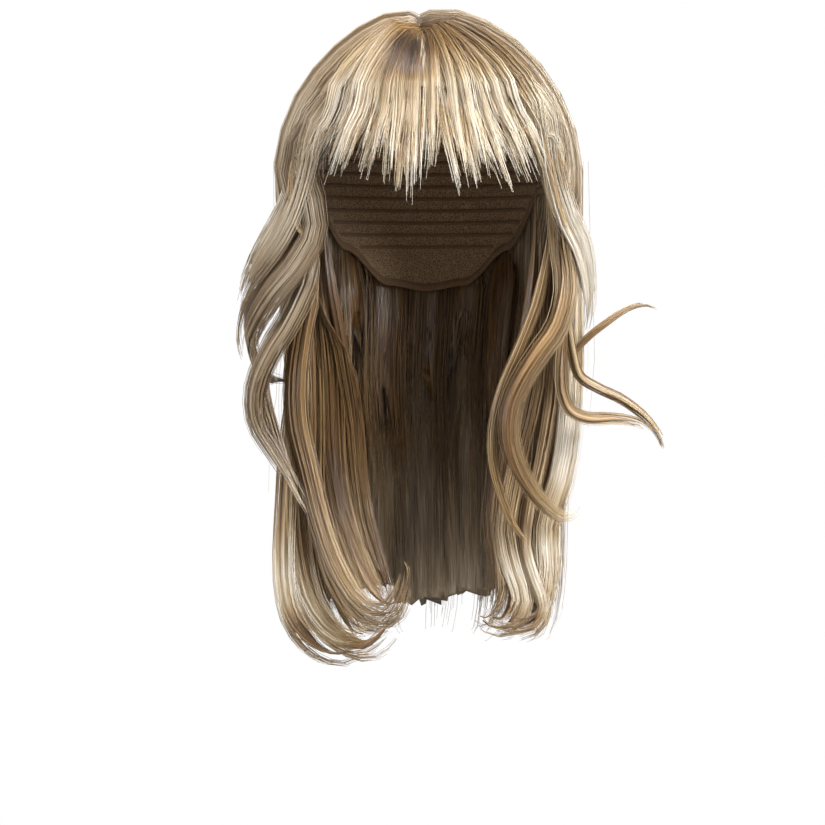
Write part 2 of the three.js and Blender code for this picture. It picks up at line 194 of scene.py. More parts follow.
def crownGuide(turn, first, last, depth, step, tone, count=30):
    rows = []
    knee = 1 / lookUp(crownEdge, turn % 360)  # where the hair starts to hang
    for i in range(count + 1):
        at = i / count
        if knee > last * 0.9:
            share = lerp(first, last, at**1.2)
        else:
            share = lerp(first, knee, (at / 0.6) ** 1.2) if at < 0.6 else lerp(knee, last, at / 0.4 - 1.5)
        over = smooth((share - 0.8) / 0.4) * smooth((fromFront(turn) - 80) / 40)
        below = overReach * over - depth - settled(turn, share)
        point = crownPoint(turn, share, below)
        across = (crownPoint(turn + step, share, below) - crownPoint(turn - step, share, below)) * 0.5
        along = crownPoint(turn, share + 0.02, below)
        along -= crownPoint(turn, share - 0.02 if share > 0.02 else 0, below)
        out = along.cross(across)
        out = -out.normalized() if out.dot(point - Vector((0, 0, -rise))) < 0 else out.normalized()
        rows.append((point, across, out * depth, toneAt(tone, i / count)))
    return rows


def chained(lengths):  # edges along rows of points that lie one after the other
    edges, first = [], 0
    for length in lengths:
        edges += [(first + i, first + i + 1) for i in range(length - 1)]
        first += length
    return edges


def guideMesh(name, guides):
    mesh = bpy.data.meshes.new(name)
    points = [row for guide in guides for row in guide]
    mesh.from_pydata([row[0] for row in points], chained(len(guide) for guide in guides), [])
    for key, column in (("across", 1), ("outward", 2)):
        layer = mesh.attributes.new(key, "FLOAT_VECTOR", "POINT")
        layer.data.foreach_set("vector", np.array([row[column] for row in points], np.float32).ravel())
    layer = mesh.attributes.new("tone", "FLOAT", "POINT")
    layer.data.foreach_set("value", np.array([row[3] for row in points], np.float32))
    return mesh


# Geometry Nodes

def nodeMaker(tree):
    def add(kind, inputs=(), **settings):
        made = tree.nodes.new(kind)
        made.location = (180 * len(tree.nodes), 0)
        for key, value in settings.items():
            setattr(made, key, value)
        for key, value in dict(inputs).items():
            socket = made.inputs[key]
            if isinstance(value, bpy.types.NodeSocket):
                tree.links.new(value, socket)
            else:
                socket.default_value = value
        return made

    def calc(operation, *values):
        return add("ShaderNodeMath", enumerate(values), operation=operation).outputs[0]

    def vector(operation, *values):
        return add("ShaderNodeVectorMath", enumerate(values), operation=operation).outputs[0]

    return add, calc, vector


def newTree(name, sockets):  # with a named input for each size
    tree = bpy.data.node_groups.new(name, "GeometryNodeTree")
    tree.interface.new_socket("Geometry", in_out="OUTPUT", socket_type="NodeSocketGeometry")
    for kind, names in sockets.items():
        for key in names:
            tree.interface.new_socket(key, in_out="INPUT", socket_type="NodeSocket" + kind)
    makers = nodeMaker(tree)
    return tree, *makers, makers[0]("NodeGroupInput").outputs


def endTree(add, made, material):
    made = add("GeometryNodeRealizeInstances", {"Geometry": made}).outputs[0]
    made = add("GeometryNodeSetMaterial", {"Geometry": made, "Material": material}).outputs[0]
    add("NodeGroupOutput", {"Geometry": made})


def strandTree():
    tree, add, calc, vector, given = newTree("strands", {
        "Geometry": ["Geometry"],
        "Int": ["Clumps", "Strands per clump", "Seed"],
        "Float": [
            "Strand radius", "Clump size", "Tip gather", "Shortest", "Uneven", "Arc", "Inner", "Flat", "Wave",
            "Waves", "Frizz", "Tone spread", "Half breadth", "Half length", "Rise", "Taper",
        ],
        "Material": ["Material"],
    })
    operations = ("MULTIPLY", "ADD", "SUBTRACT", "DIVIDE", "POWER", "MAXIMUM", "MINIMUM")
    times, plus, minus, ratio, power, larger, smaller = [partial(calc, name) for name in operations]

    def named(name, kind="FLOAT"):
        return add("GeometryNodeInputNamedAttribute", {"Name": name}, data_type=kind).outputs[0]

    def scaled(value, size):
        return add("ShaderNodeVectorMath", {0: value, "Scale": size}, operation="SCALE").outputs[0]

    def stored(geometry, name, value, kind="FLOAT", domain="POINT"):
        return add("GeometryNodeStoreNamedAttribute", {"Geometry": geometry, "Name": name, "Value": value},
                   data_type=kind, domain=domain).outputs[0]

    def kept(geometry, value, kind="FLOAT", domain="CURVE"):  # a value held on each guide or strand
        made = add("GeometryNodeCaptureAttribute", {"Geometry": geometry}, domain=domain)
        made.capture_items.new(kind, "Value")
        tree.links.new(value, made.inputs["Value"])
        return made.outputs["Geometry"], made.outputs["Value"]

    def chance(low, high, key, shift):  # the same for every point with the same key
        seed = plus(given["Seed"], shift)
        made = add("FunctionNodeRandomValue", {"ID": key, "Seed": seed}, data_type="FLOAT")
        for name, value in (("Min_001", low), ("Max_001", high)):
            socket = next(s for s in made.inputs if s.identifier == name)
            if isinstance(value, bpy.types.NodeSocket):
                tree.links.new(value, socket)
            else:
                socket.default_value = value
        return made.outputs[1]

    index = add("GeometryNodeInputIndex").outputs[0]
    curves = add("GeometryNodeMeshToCurve", {"Mesh": given["Geometry"]}).outputs[0]
    curves, guide = kept(curves, index, "INT")
    amount = times(given["Clumps"], given["Strands per clump"])
    copies = add("GeometryNodeDuplicateElements", {"Geometry": curves, "Amount": amount}, domain="SPLINE")
    clumpOf = calc("FLOOR", ratio(plus(copies.outputs[1], 0.5), given["Strands per clump"]))
    strands, clump = kept(copies.outputs[0], calc("MULTIPLY_ADD", guide, 211.0, clumpOf))
    strands, strand = kept(strands, index, "INT")
    along = add("GeometryNodeSplineParameter").outputs["Factor"]

    # where the clump runs in the lock's section, and the strand in the clump
    angle = chance(0.0, given["Arc"], clump, 1)
    reach = chance(given["Inner"], 1.0, clump, 2)
    across, outward = named("across", "FLOAT_VECTOR"), named("outward", "FLOAT_VECTOR")
    sideways = scaled(across, times(calc("COSINE", angle), reach))
    upwards = scaled(outward, times(calc("SINE", angle), reach))
    gather = times(given["Tip gather"], power(along, 1.6))
    room = times(given["Clump size"], minus(1.0, gather))
    own = []
    for direction, shift in ((across, 3), (outward, 4)):
        own.append(scaled(vector("NORMALIZE", direction), times(chance(-1.0, 1.0, strand, shift), room)))

    def wander(key, width, count, growth, shift):  # a slow sway that grows along the strand
        at = add("ShaderNodeCombineXYZ", {
            "X": times(along, count),
            "Y": times(key, 3.71),
            "Z": plus(given["Seed"], shift),
        }).outputs[0]
        noise = add("ShaderNodeTexNoise", {"Vector": at, "Scale": 1.0, "Detail": 1.0}).outputs["Color"]
        size = times(times(width, 2.0), power(along, growth))
        return scaled(vector("SUBTRACT", noise, (0.5, 0.5, 0.5)), size)

    loose = wander(clump, given["Wave"], given["Waves"], 0.8, 0.3)
    for part in (*own, wander(strand, given["Frizz"], 4.0, 0.7, 0.7)):
        loose = vector("ADD", loose, part)
    facing = vector("NORMALIZE", outward)
    rising = add("ShaderNodeVectorMath", {0: loose, 1: facing}, operation="DOT_PRODUCT").outputs["Value"]
    pressed = scaled(facing, times(rising, given["Flat"]))
    offset = vector("ADD", vector("ADD", sideways, upwards), vector("SUBTRACT", loose, pressed))
    strands = add("GeometryNodeSetPosition", {"Geometry": strands, "Offset": offset}).outputs[0]

    # what would lie inside the cap moves straight out to it
    at = add("ShaderNodeSeparateXYZ", {0: add("GeometryNodeInputPosition").outputs[0]}).outputs
    up = plus(at[2], given["Rise"])
    level = ratio(larger(up, 0.0), given["Rise"])
    dome = calc("SQRT", larger(minus(1.0, times(level, level)), 0.0))
    under = smaller(ratio(larger(times(up, -1.0), 0.0), given["Taper"]), 1.0)
    narrow = times(dome, power(minus(1.0, power(under, taperPower)), 1 / taperPower))
    shares = [ratio(at[k], larger(times(narrow, given[key]), 0.1 * mm))
              for k, key in enumerate(("Half breadth", "Half length"))]
    apart = calc("SQRT", plus(power(shares[0], 2.0), power(shares[1], 2.0)))
    push = ratio(1.0, smaller(larger(apart, 0.3), 1.0))
    clear = add("ShaderNodeCombineXYZ", {0: times(at[0], push), 1: times(at[1], push), 2: at[2]}).outputs[0]
    strands = add("GeometryNodeSetPosition", {"Geometry": strands, "Position": clear}).outputs[0]

    length = times(chance(given["Shortest"], 1.0, clump, 5), chance(given["Uneven"], 1.0, strand, 6))
    trim = add("GeometryNodeTrimCurve", {"Curve": strands}, mode="FACTOR")
    tree.links.new(length, next(s for s in trim.inputs if s.identifier == "End"))

    shade = times(chance(-1.0, 1.0, clump, 7), given["Tone spread"])
    fine = times(chance(-0.8, 0.8, strand, 8), given["Tone spread"])
    tone = add("ShaderNodeClamp", {"Value": plus(named("tone"), plus(shade, fine))}).outputs[0]
    strands = stored(stored(trim.outputs[0], "tone", tone), "along", along)
    ring = add("GeometryNodeCurvePrimitiveCircle", {"Resolution": 3, "Radius": given["Strand radius"]})
    narrowing = minus(1.0, times(power(along, 4.0), 0.45))
    tubes = add("GeometryNodeCurveToMesh", {
        "Curve": strands, "Profile Curve": ring.outputs[0], "Scale": narrowing, "Fill Caps": True}).outputs[0]
    across = calc("MULTIPLY_ADD", named("tone"), 0.98, times(calc("MODULO", index, 3.0), 0.004))
    flat = add("ShaderNodeCombineXYZ", {"X": across, "Y": named("along")})
    tubes = stored(tubes, "OFBake", flat.outputs[0], "FLOAT2", "CORNER")
    tubes = add("GeometryNodeSetShadeSmooth", {"Geometry": tubes}).outputs[0]
    endTree(add, tubes, given["Material"])
    return tree


# Materials

def srgb(*values):
    shares = [v / 255 for v in values]
    return *(v / 12.92 if v <= 0.04 else ((v + 0.055) / 1.055) ** 2.4 for v in shares), 1.0


hairLook = {
    "golden": [(0.0, (44, 25, 8)), (0.2, (90, 60, 28)), (0.4, (138, 105, 62)), (0.6, (184, 155, 111)),
               (0.8, (224, 205, 171)), (1.0, (252, 244, 229))],
    "ashen": [(0.0, (46, 31, 17)), (0.2, (92, 71, 48)), (0.4, (138, 115, 86)), (0.6, (182, 162, 133)),
              (0.8, (220, 208, 187)), (1.0, (250, 245, 236))],
    "roughness": 0.3,
    "sheen": 0.08,
    "sheenRoughness": 0.4,
    "specular": 0.9,
    # painted shade: the bodies under the strands are drawn darker, standing in for the shadow in the gaps
    # between strands
    "bodyPaintedShade": 0.14,
    "broadStreaks": {"scale": (0.16, 0.012, 1.0), "detail": 1.0, "strength": 0.6},
    "thinStreaks": {"scale": (1.1, 0.03, 1.0), "detail": 2.0, "strength": 0.9},
}


def newMaterial(name):
    made = bpy.data.materials.new(name)
    made.use_nodes = True
    made.node_tree.nodes.clear()
    return made, *nodeMaker(made.node_tree)[:2]


def hairMaterial(shade, streaks):
    made, add, calc = newMaterial(shade + (" body" if streaks else " strands"))
    tone = add("ShaderNodeAttribute", attribute_name="tone").outputs["Fac"]
    bump = {}
    if streaks:  # the hair of a lock's body runs along a map that counts strands across and millimetres along
        at = add("ShaderNodeUVMap", uv_map="hairs").outputs[0]
        # painted shade: a body is darker than its strands, for the shadow between them
        tone = calc("SUBTRACT", tone, hairLook["bodyPaintedShade"])
        for look in (hairLook["broadStreaks"], hairLook["thinStreaks"]):
            mapped = add("ShaderNodeMapping", {"Vector": at, "Scale": look["scale"]}).outputs[0]
            noise = add("ShaderNodeTexNoise", {"Vector": mapped, "Scale": 1.0, "Detail": look["detail"]})
            noise = noise.outputs["Fac"]
            tone = calc("ADD", tone, calc("MULTIPLY", calc("SUBTRACT", noise, 0.5), look["strength"]))
        relief = add("ShaderNodeBump", {"Height": noise, "Strength": 0.5, "Distance": 0.8 * mm})
        bump["Normal"] = relief.outputs[0]
    ramp = add("ShaderNodeValToRGB", {"Fac": tone})
    band = ramp.color_ramp
    while len(band.elements) > 1:
        band.elements.remove(band.elements[-1])
    for i, (at, colour) in enumerate(hairLook[shade]):
        stop = band.elements[0] if i == 0 else band.elements.new(at)
        stop.position = at
        stop.color = srgb(*colour)
    shader = add("ShaderNodeBsdfPrincipled", {
        "Base Color": ramp.outputs[0],
        "Roughness": hairLook["roughness"],
        "Sheen Weight": hairLook["sheen"],
        "Sheen Roughness": hairLook["sheenRoughness"],
        "Specular IOR Level": hairLook["specular"],
        **bump,
    })
    add("ShaderNodeOutputMaterial", {"Surface": shader.outputs[0]})
    return made


def clothMaterial(name, colour, roughness, weave):
    made, add, calc = newMaterial(name)
    at = add("ShaderNodeTexCoord").outputs["Object"]
    cells = add("ShaderNodeTexVoronoi", {"Vector": at, "Scale": weave}, feature="DISTANCE_TO_EDGE").outputs[0]
    thread = calc("SMOOTH_MIN", calc("MULTIPLY", cells, 4.0), 1.0, 0.2)
    dark = tuple(c * 0.45 for c in srgb(*colour)[:3]) + (1.0,)
    mix = add("ShaderNodeMix", {0: thread, 6: srgb(*colour), 7: dark}, data_type="RGBA")
    height = calc("SUBTRACT", 1.0, thread)
    bump = add("ShaderNodeBump", {"Height": height, "Strength": 0.5, "Distance": 0.6 * mm})
    shader = add("ShaderNodeBsdfPrincipled", {
        "Base Color": mix.outputs[2], "Roughness": roughness, "Normal": bump.outputs[0], "Sheen Weight": 0.2})
    add("ShaderNodeOutputMaterial", {"Surface": shader.outputs[0]})
    return made


strandLooks = {shade: hairMaterial(shade, False) for shade in ("golden", "ashen")}
bodyLooks = {shade: hairMaterial(shade, True) for shade in ("golden", "ashen")}
netLook = clothMaterial("cap net", (190, 160, 124), 0.8, 620)
bandLook = clothMaterial("cap band", (158, 124, 88), 0.7, 1400)

# Building the pieces

strandsTree = strandTree()
counts = {}


def triangles(mesh):
    mesh.calc_loop_triangles()
    return len(mesh.loop_triangles)


def finishPiece(made, node, slot):
    if made.name not in scene.collection.objects:
        scene.collection.objects.link(made)
    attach(made, "root")
    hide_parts(node)
    counts[made.name] = triangles(made.data)
    return made


def grown(name, mesh, tree, values):  # the plain mesh that a tree makes of its guides
    made = bpy.data.objects.new(name, mesh)
    scene.collection.objects.link(made)
    modifier = made.modifiers.new(tree.name, "NODES")
    modifier.node_group = tree
    for socket in tree.interface.items_tree:
        if socket.in_out == "INPUT" and socket.name in values:
            modifier[socket.identifier] = values[socket.name]
    made.update_tag()
    plain = bpy.data.meshes.new_from_object(made.evaluated_get(bpy.context.evaluated_depsgraph_get()))
    made.modifiers.clear()
    made.data = plain
    return made


def growStrands(name, node, slot, guides, style):
    values = {**strandDefaults, **style, "Material": strandLooks[style.get("shade", "golden")]}
    return finishPiece(grown(name, guideMesh(name, guides), strandsTree, values), node, slot)


strandDefaults = {
    "Clumps": 14,
    "Strands per clump": 14,
    "Strand radius": 0.2 * mm,
    "Clump size": 3.6 * mm,
    "Tip gather": 0.5,
    "Shortest": 0.82,
    "Uneven": 0.92,
    "Arc": 2 * math.pi,
    "Inner": 0.7,
    "Flat": 0.3,
    "Wave": 2.2 * mm,
    "Waves": 2.4,
    "Frizz": 1.6 * mm,
    "Tone spread": 0.13,
    "Half breadth": halfBreadth + capWall,
    "Half length": halfLength + capWall,
    "Rise": rise,
    "Taper": taper,
    "Seed": 1,
}


hairGap = 0.5 * mm  # from streak to streak on a body


def ringFaces(first, around, rings, corner):  # four-sided faces between rings, and their corners on the map
    faces, flat = [], []
    for r in range(rings - 1):
        for c in range(around):
            a, b = first + r * around + c, first + r * around + (c + 1) % around
            faces.append((a, b, b + around, a + around))
            flat += [corner(c, r), corner(c + 1, r), corner(c + 1, r + 1), corner(c, r + 1)]
    return faces, flat


def bodyMesh(name, guides, style):  # closed and grooved, one body for each guide
    sides, rows = style["sides"], style["rows"]
    verts, faces, flat, tones = [], [], [], []
    for g, guide in enumerate(guides):
        base = len(verts)
        for r in range(rows + 1):
            share = r / rows * (style["until"] - style["stagger"] * (g * 2 % 3) / 2)
            at = share * (len(guide) - 1)
            k = min(int(at), len(guide) - 2)
            w = at - k
            point, across, out = [guide[k][c].lerp(guide[k + 1][c], w) for c in range(3)]
            tone = lerp(guide[k][3], guide[k + 1][3], w)
            back = (guide[k][0] - guide[k + 1][0]) * (len(guide) - 1) * style["jag"]
            narrowing = smooth((r / rows - style["narrows"]) / (1 - style["narrows"]))
            size = style["share"] * lerp(0.15, 1, smooth(r / rows / 0.14))
            wide = size * lerp(1, style["tipWidth"], narrowing)
            thick = size * lerp(1, style["tipThickness"], narrowing)
            for s in range(sides):
                angle = 2 * math.pi * s / sides
                groove = math.cos(style["grooves"] * angle + 2.1 * g + 2.5 * share)
                scale = 1 - style["depth"] * (0.5 + 0.5 * groove)
                tooth = back * narrowing**2 * (math.sin(s * 12.99 + g * 78.2) * 43758.5 % 1)
                section = across * math.cos(angle) * wide + out * math.sin(angle) * thick
                verts.append(point + tooth + section * scale)
                tones.append(tone)
        ends = (len(verts), len(verts) + 1)
        verts.append(sum((verts[base + s] for s in range(sides)), Vector()) / sides)
        verts.append(sum((verts[base + rows * sides + s] for s in range(sides)), Vector()) / sides)
        tones += [guide[0][3], guide[-1][3]]

        def corner(s, r):
            return (g + 0.02 + 0.96 * s / sides) / len(guides), 0.02 + 0.96 * r / rows

        made = ringFaces(base, sides, rows + 1, corner)
        faces += made[0]
        flat += made[1]
        top = base + rows * sides
        for s in range(sides):
            n = (s + 1) % sides
            faces.append((base + n, base + s, ends[0]))
            flat += [corner(s + 1, 0), corner(s, 0), corner(s + 0.5, -0.4)]
            faces.append((top + s, top + n, ends[1]))
            flat += [corner(s, rows), corner(s + 1, rows), corner(s + 0.5, rows + 0.4)]
    girth = math.pi * np.mean([row[1].length + row[2].length for guide in guides for row in guide])
    length = np.mean([sum((b[0] - a[0]).length for a, b in zip(guide, guide[1:])) for guide in guides])
    return meshWithMap(name, verts, faces, flat, tones, len(guides) * girth / hairGap, length / mm)


def meshWithMap(name, verts, faces, flat, tones, hairs, length):
    mesh = bpy.data.meshes.new(name)
    mesh.from_pydata(verts, [], faces)
    flat = np.array(flat, np.float32)
    for key, scale in (("OFBake", (1, 1)), ("hairs", (hairs, length))):
        layer = mesh.uv_layers.new(name=key)
        layer.data.foreach_set("uv", (flat * np.array(scale, np.float32)).ravel())
    tone = mesh.attributes.new("tone", "FLOAT", "POINT")
    tone.data.foreach_set("value", np.array(tones, np.float32))
    mesh.polygons.foreach_set("use_smooth", [True] * len(mesh.polygons))
    return mesh


bodyDefaults = {
    "share": 0.66,  # of the strands' width
    "sides": 28,
    "rows": 30,
    "until": 0.93,  # where along the guide it ends
    "narrows": 0.62,  # where it starts to narrow
    "tipWidth": 0.1,
    "tipThickness": 0.08,
    "grooves": 7,
    "depth": 0.2,  # of the grooves
    "stagger": 0,  # how much sooner every other body ends
    "jag": 0,  # how uneven its cut end is
    "shade": "golden",
}


def growBody(name, node, slot, guides, style=()):
    style = {**bodyDefaults, **dict(style)}
    mesh = bodyMesh(name, guides, style)
    mesh.materials.append(bodyLooks[style["shade"]])
    facesOutward(mesh)
    return finishPiece(bpy.data.objects.new(name, mesh), node, slot)


def facesOutward(mesh):
    work = bmesh.new()
    work.from_mesh(mesh)
    bmesh.ops.recalc_face_normals(work, faces=work.faces)
    work.to_mesh(mesh)
    work.free()


# The locks of the sides. Each row of a path is the side as a share of half the dome's breadth, the depth as
# one of half its length, and the drop. A lead runs from the crown to the lock, and a tail on from its end.

lockWidth, lockThickness = 34 * mm, 13 * mm


def shaped(width, thickness, tip, tone, *rows):  # width and thickness are shares of a lock's own
    return {"width": width, "thickness": thickness, "tip": tip, "tone": tone, "rows": rows}
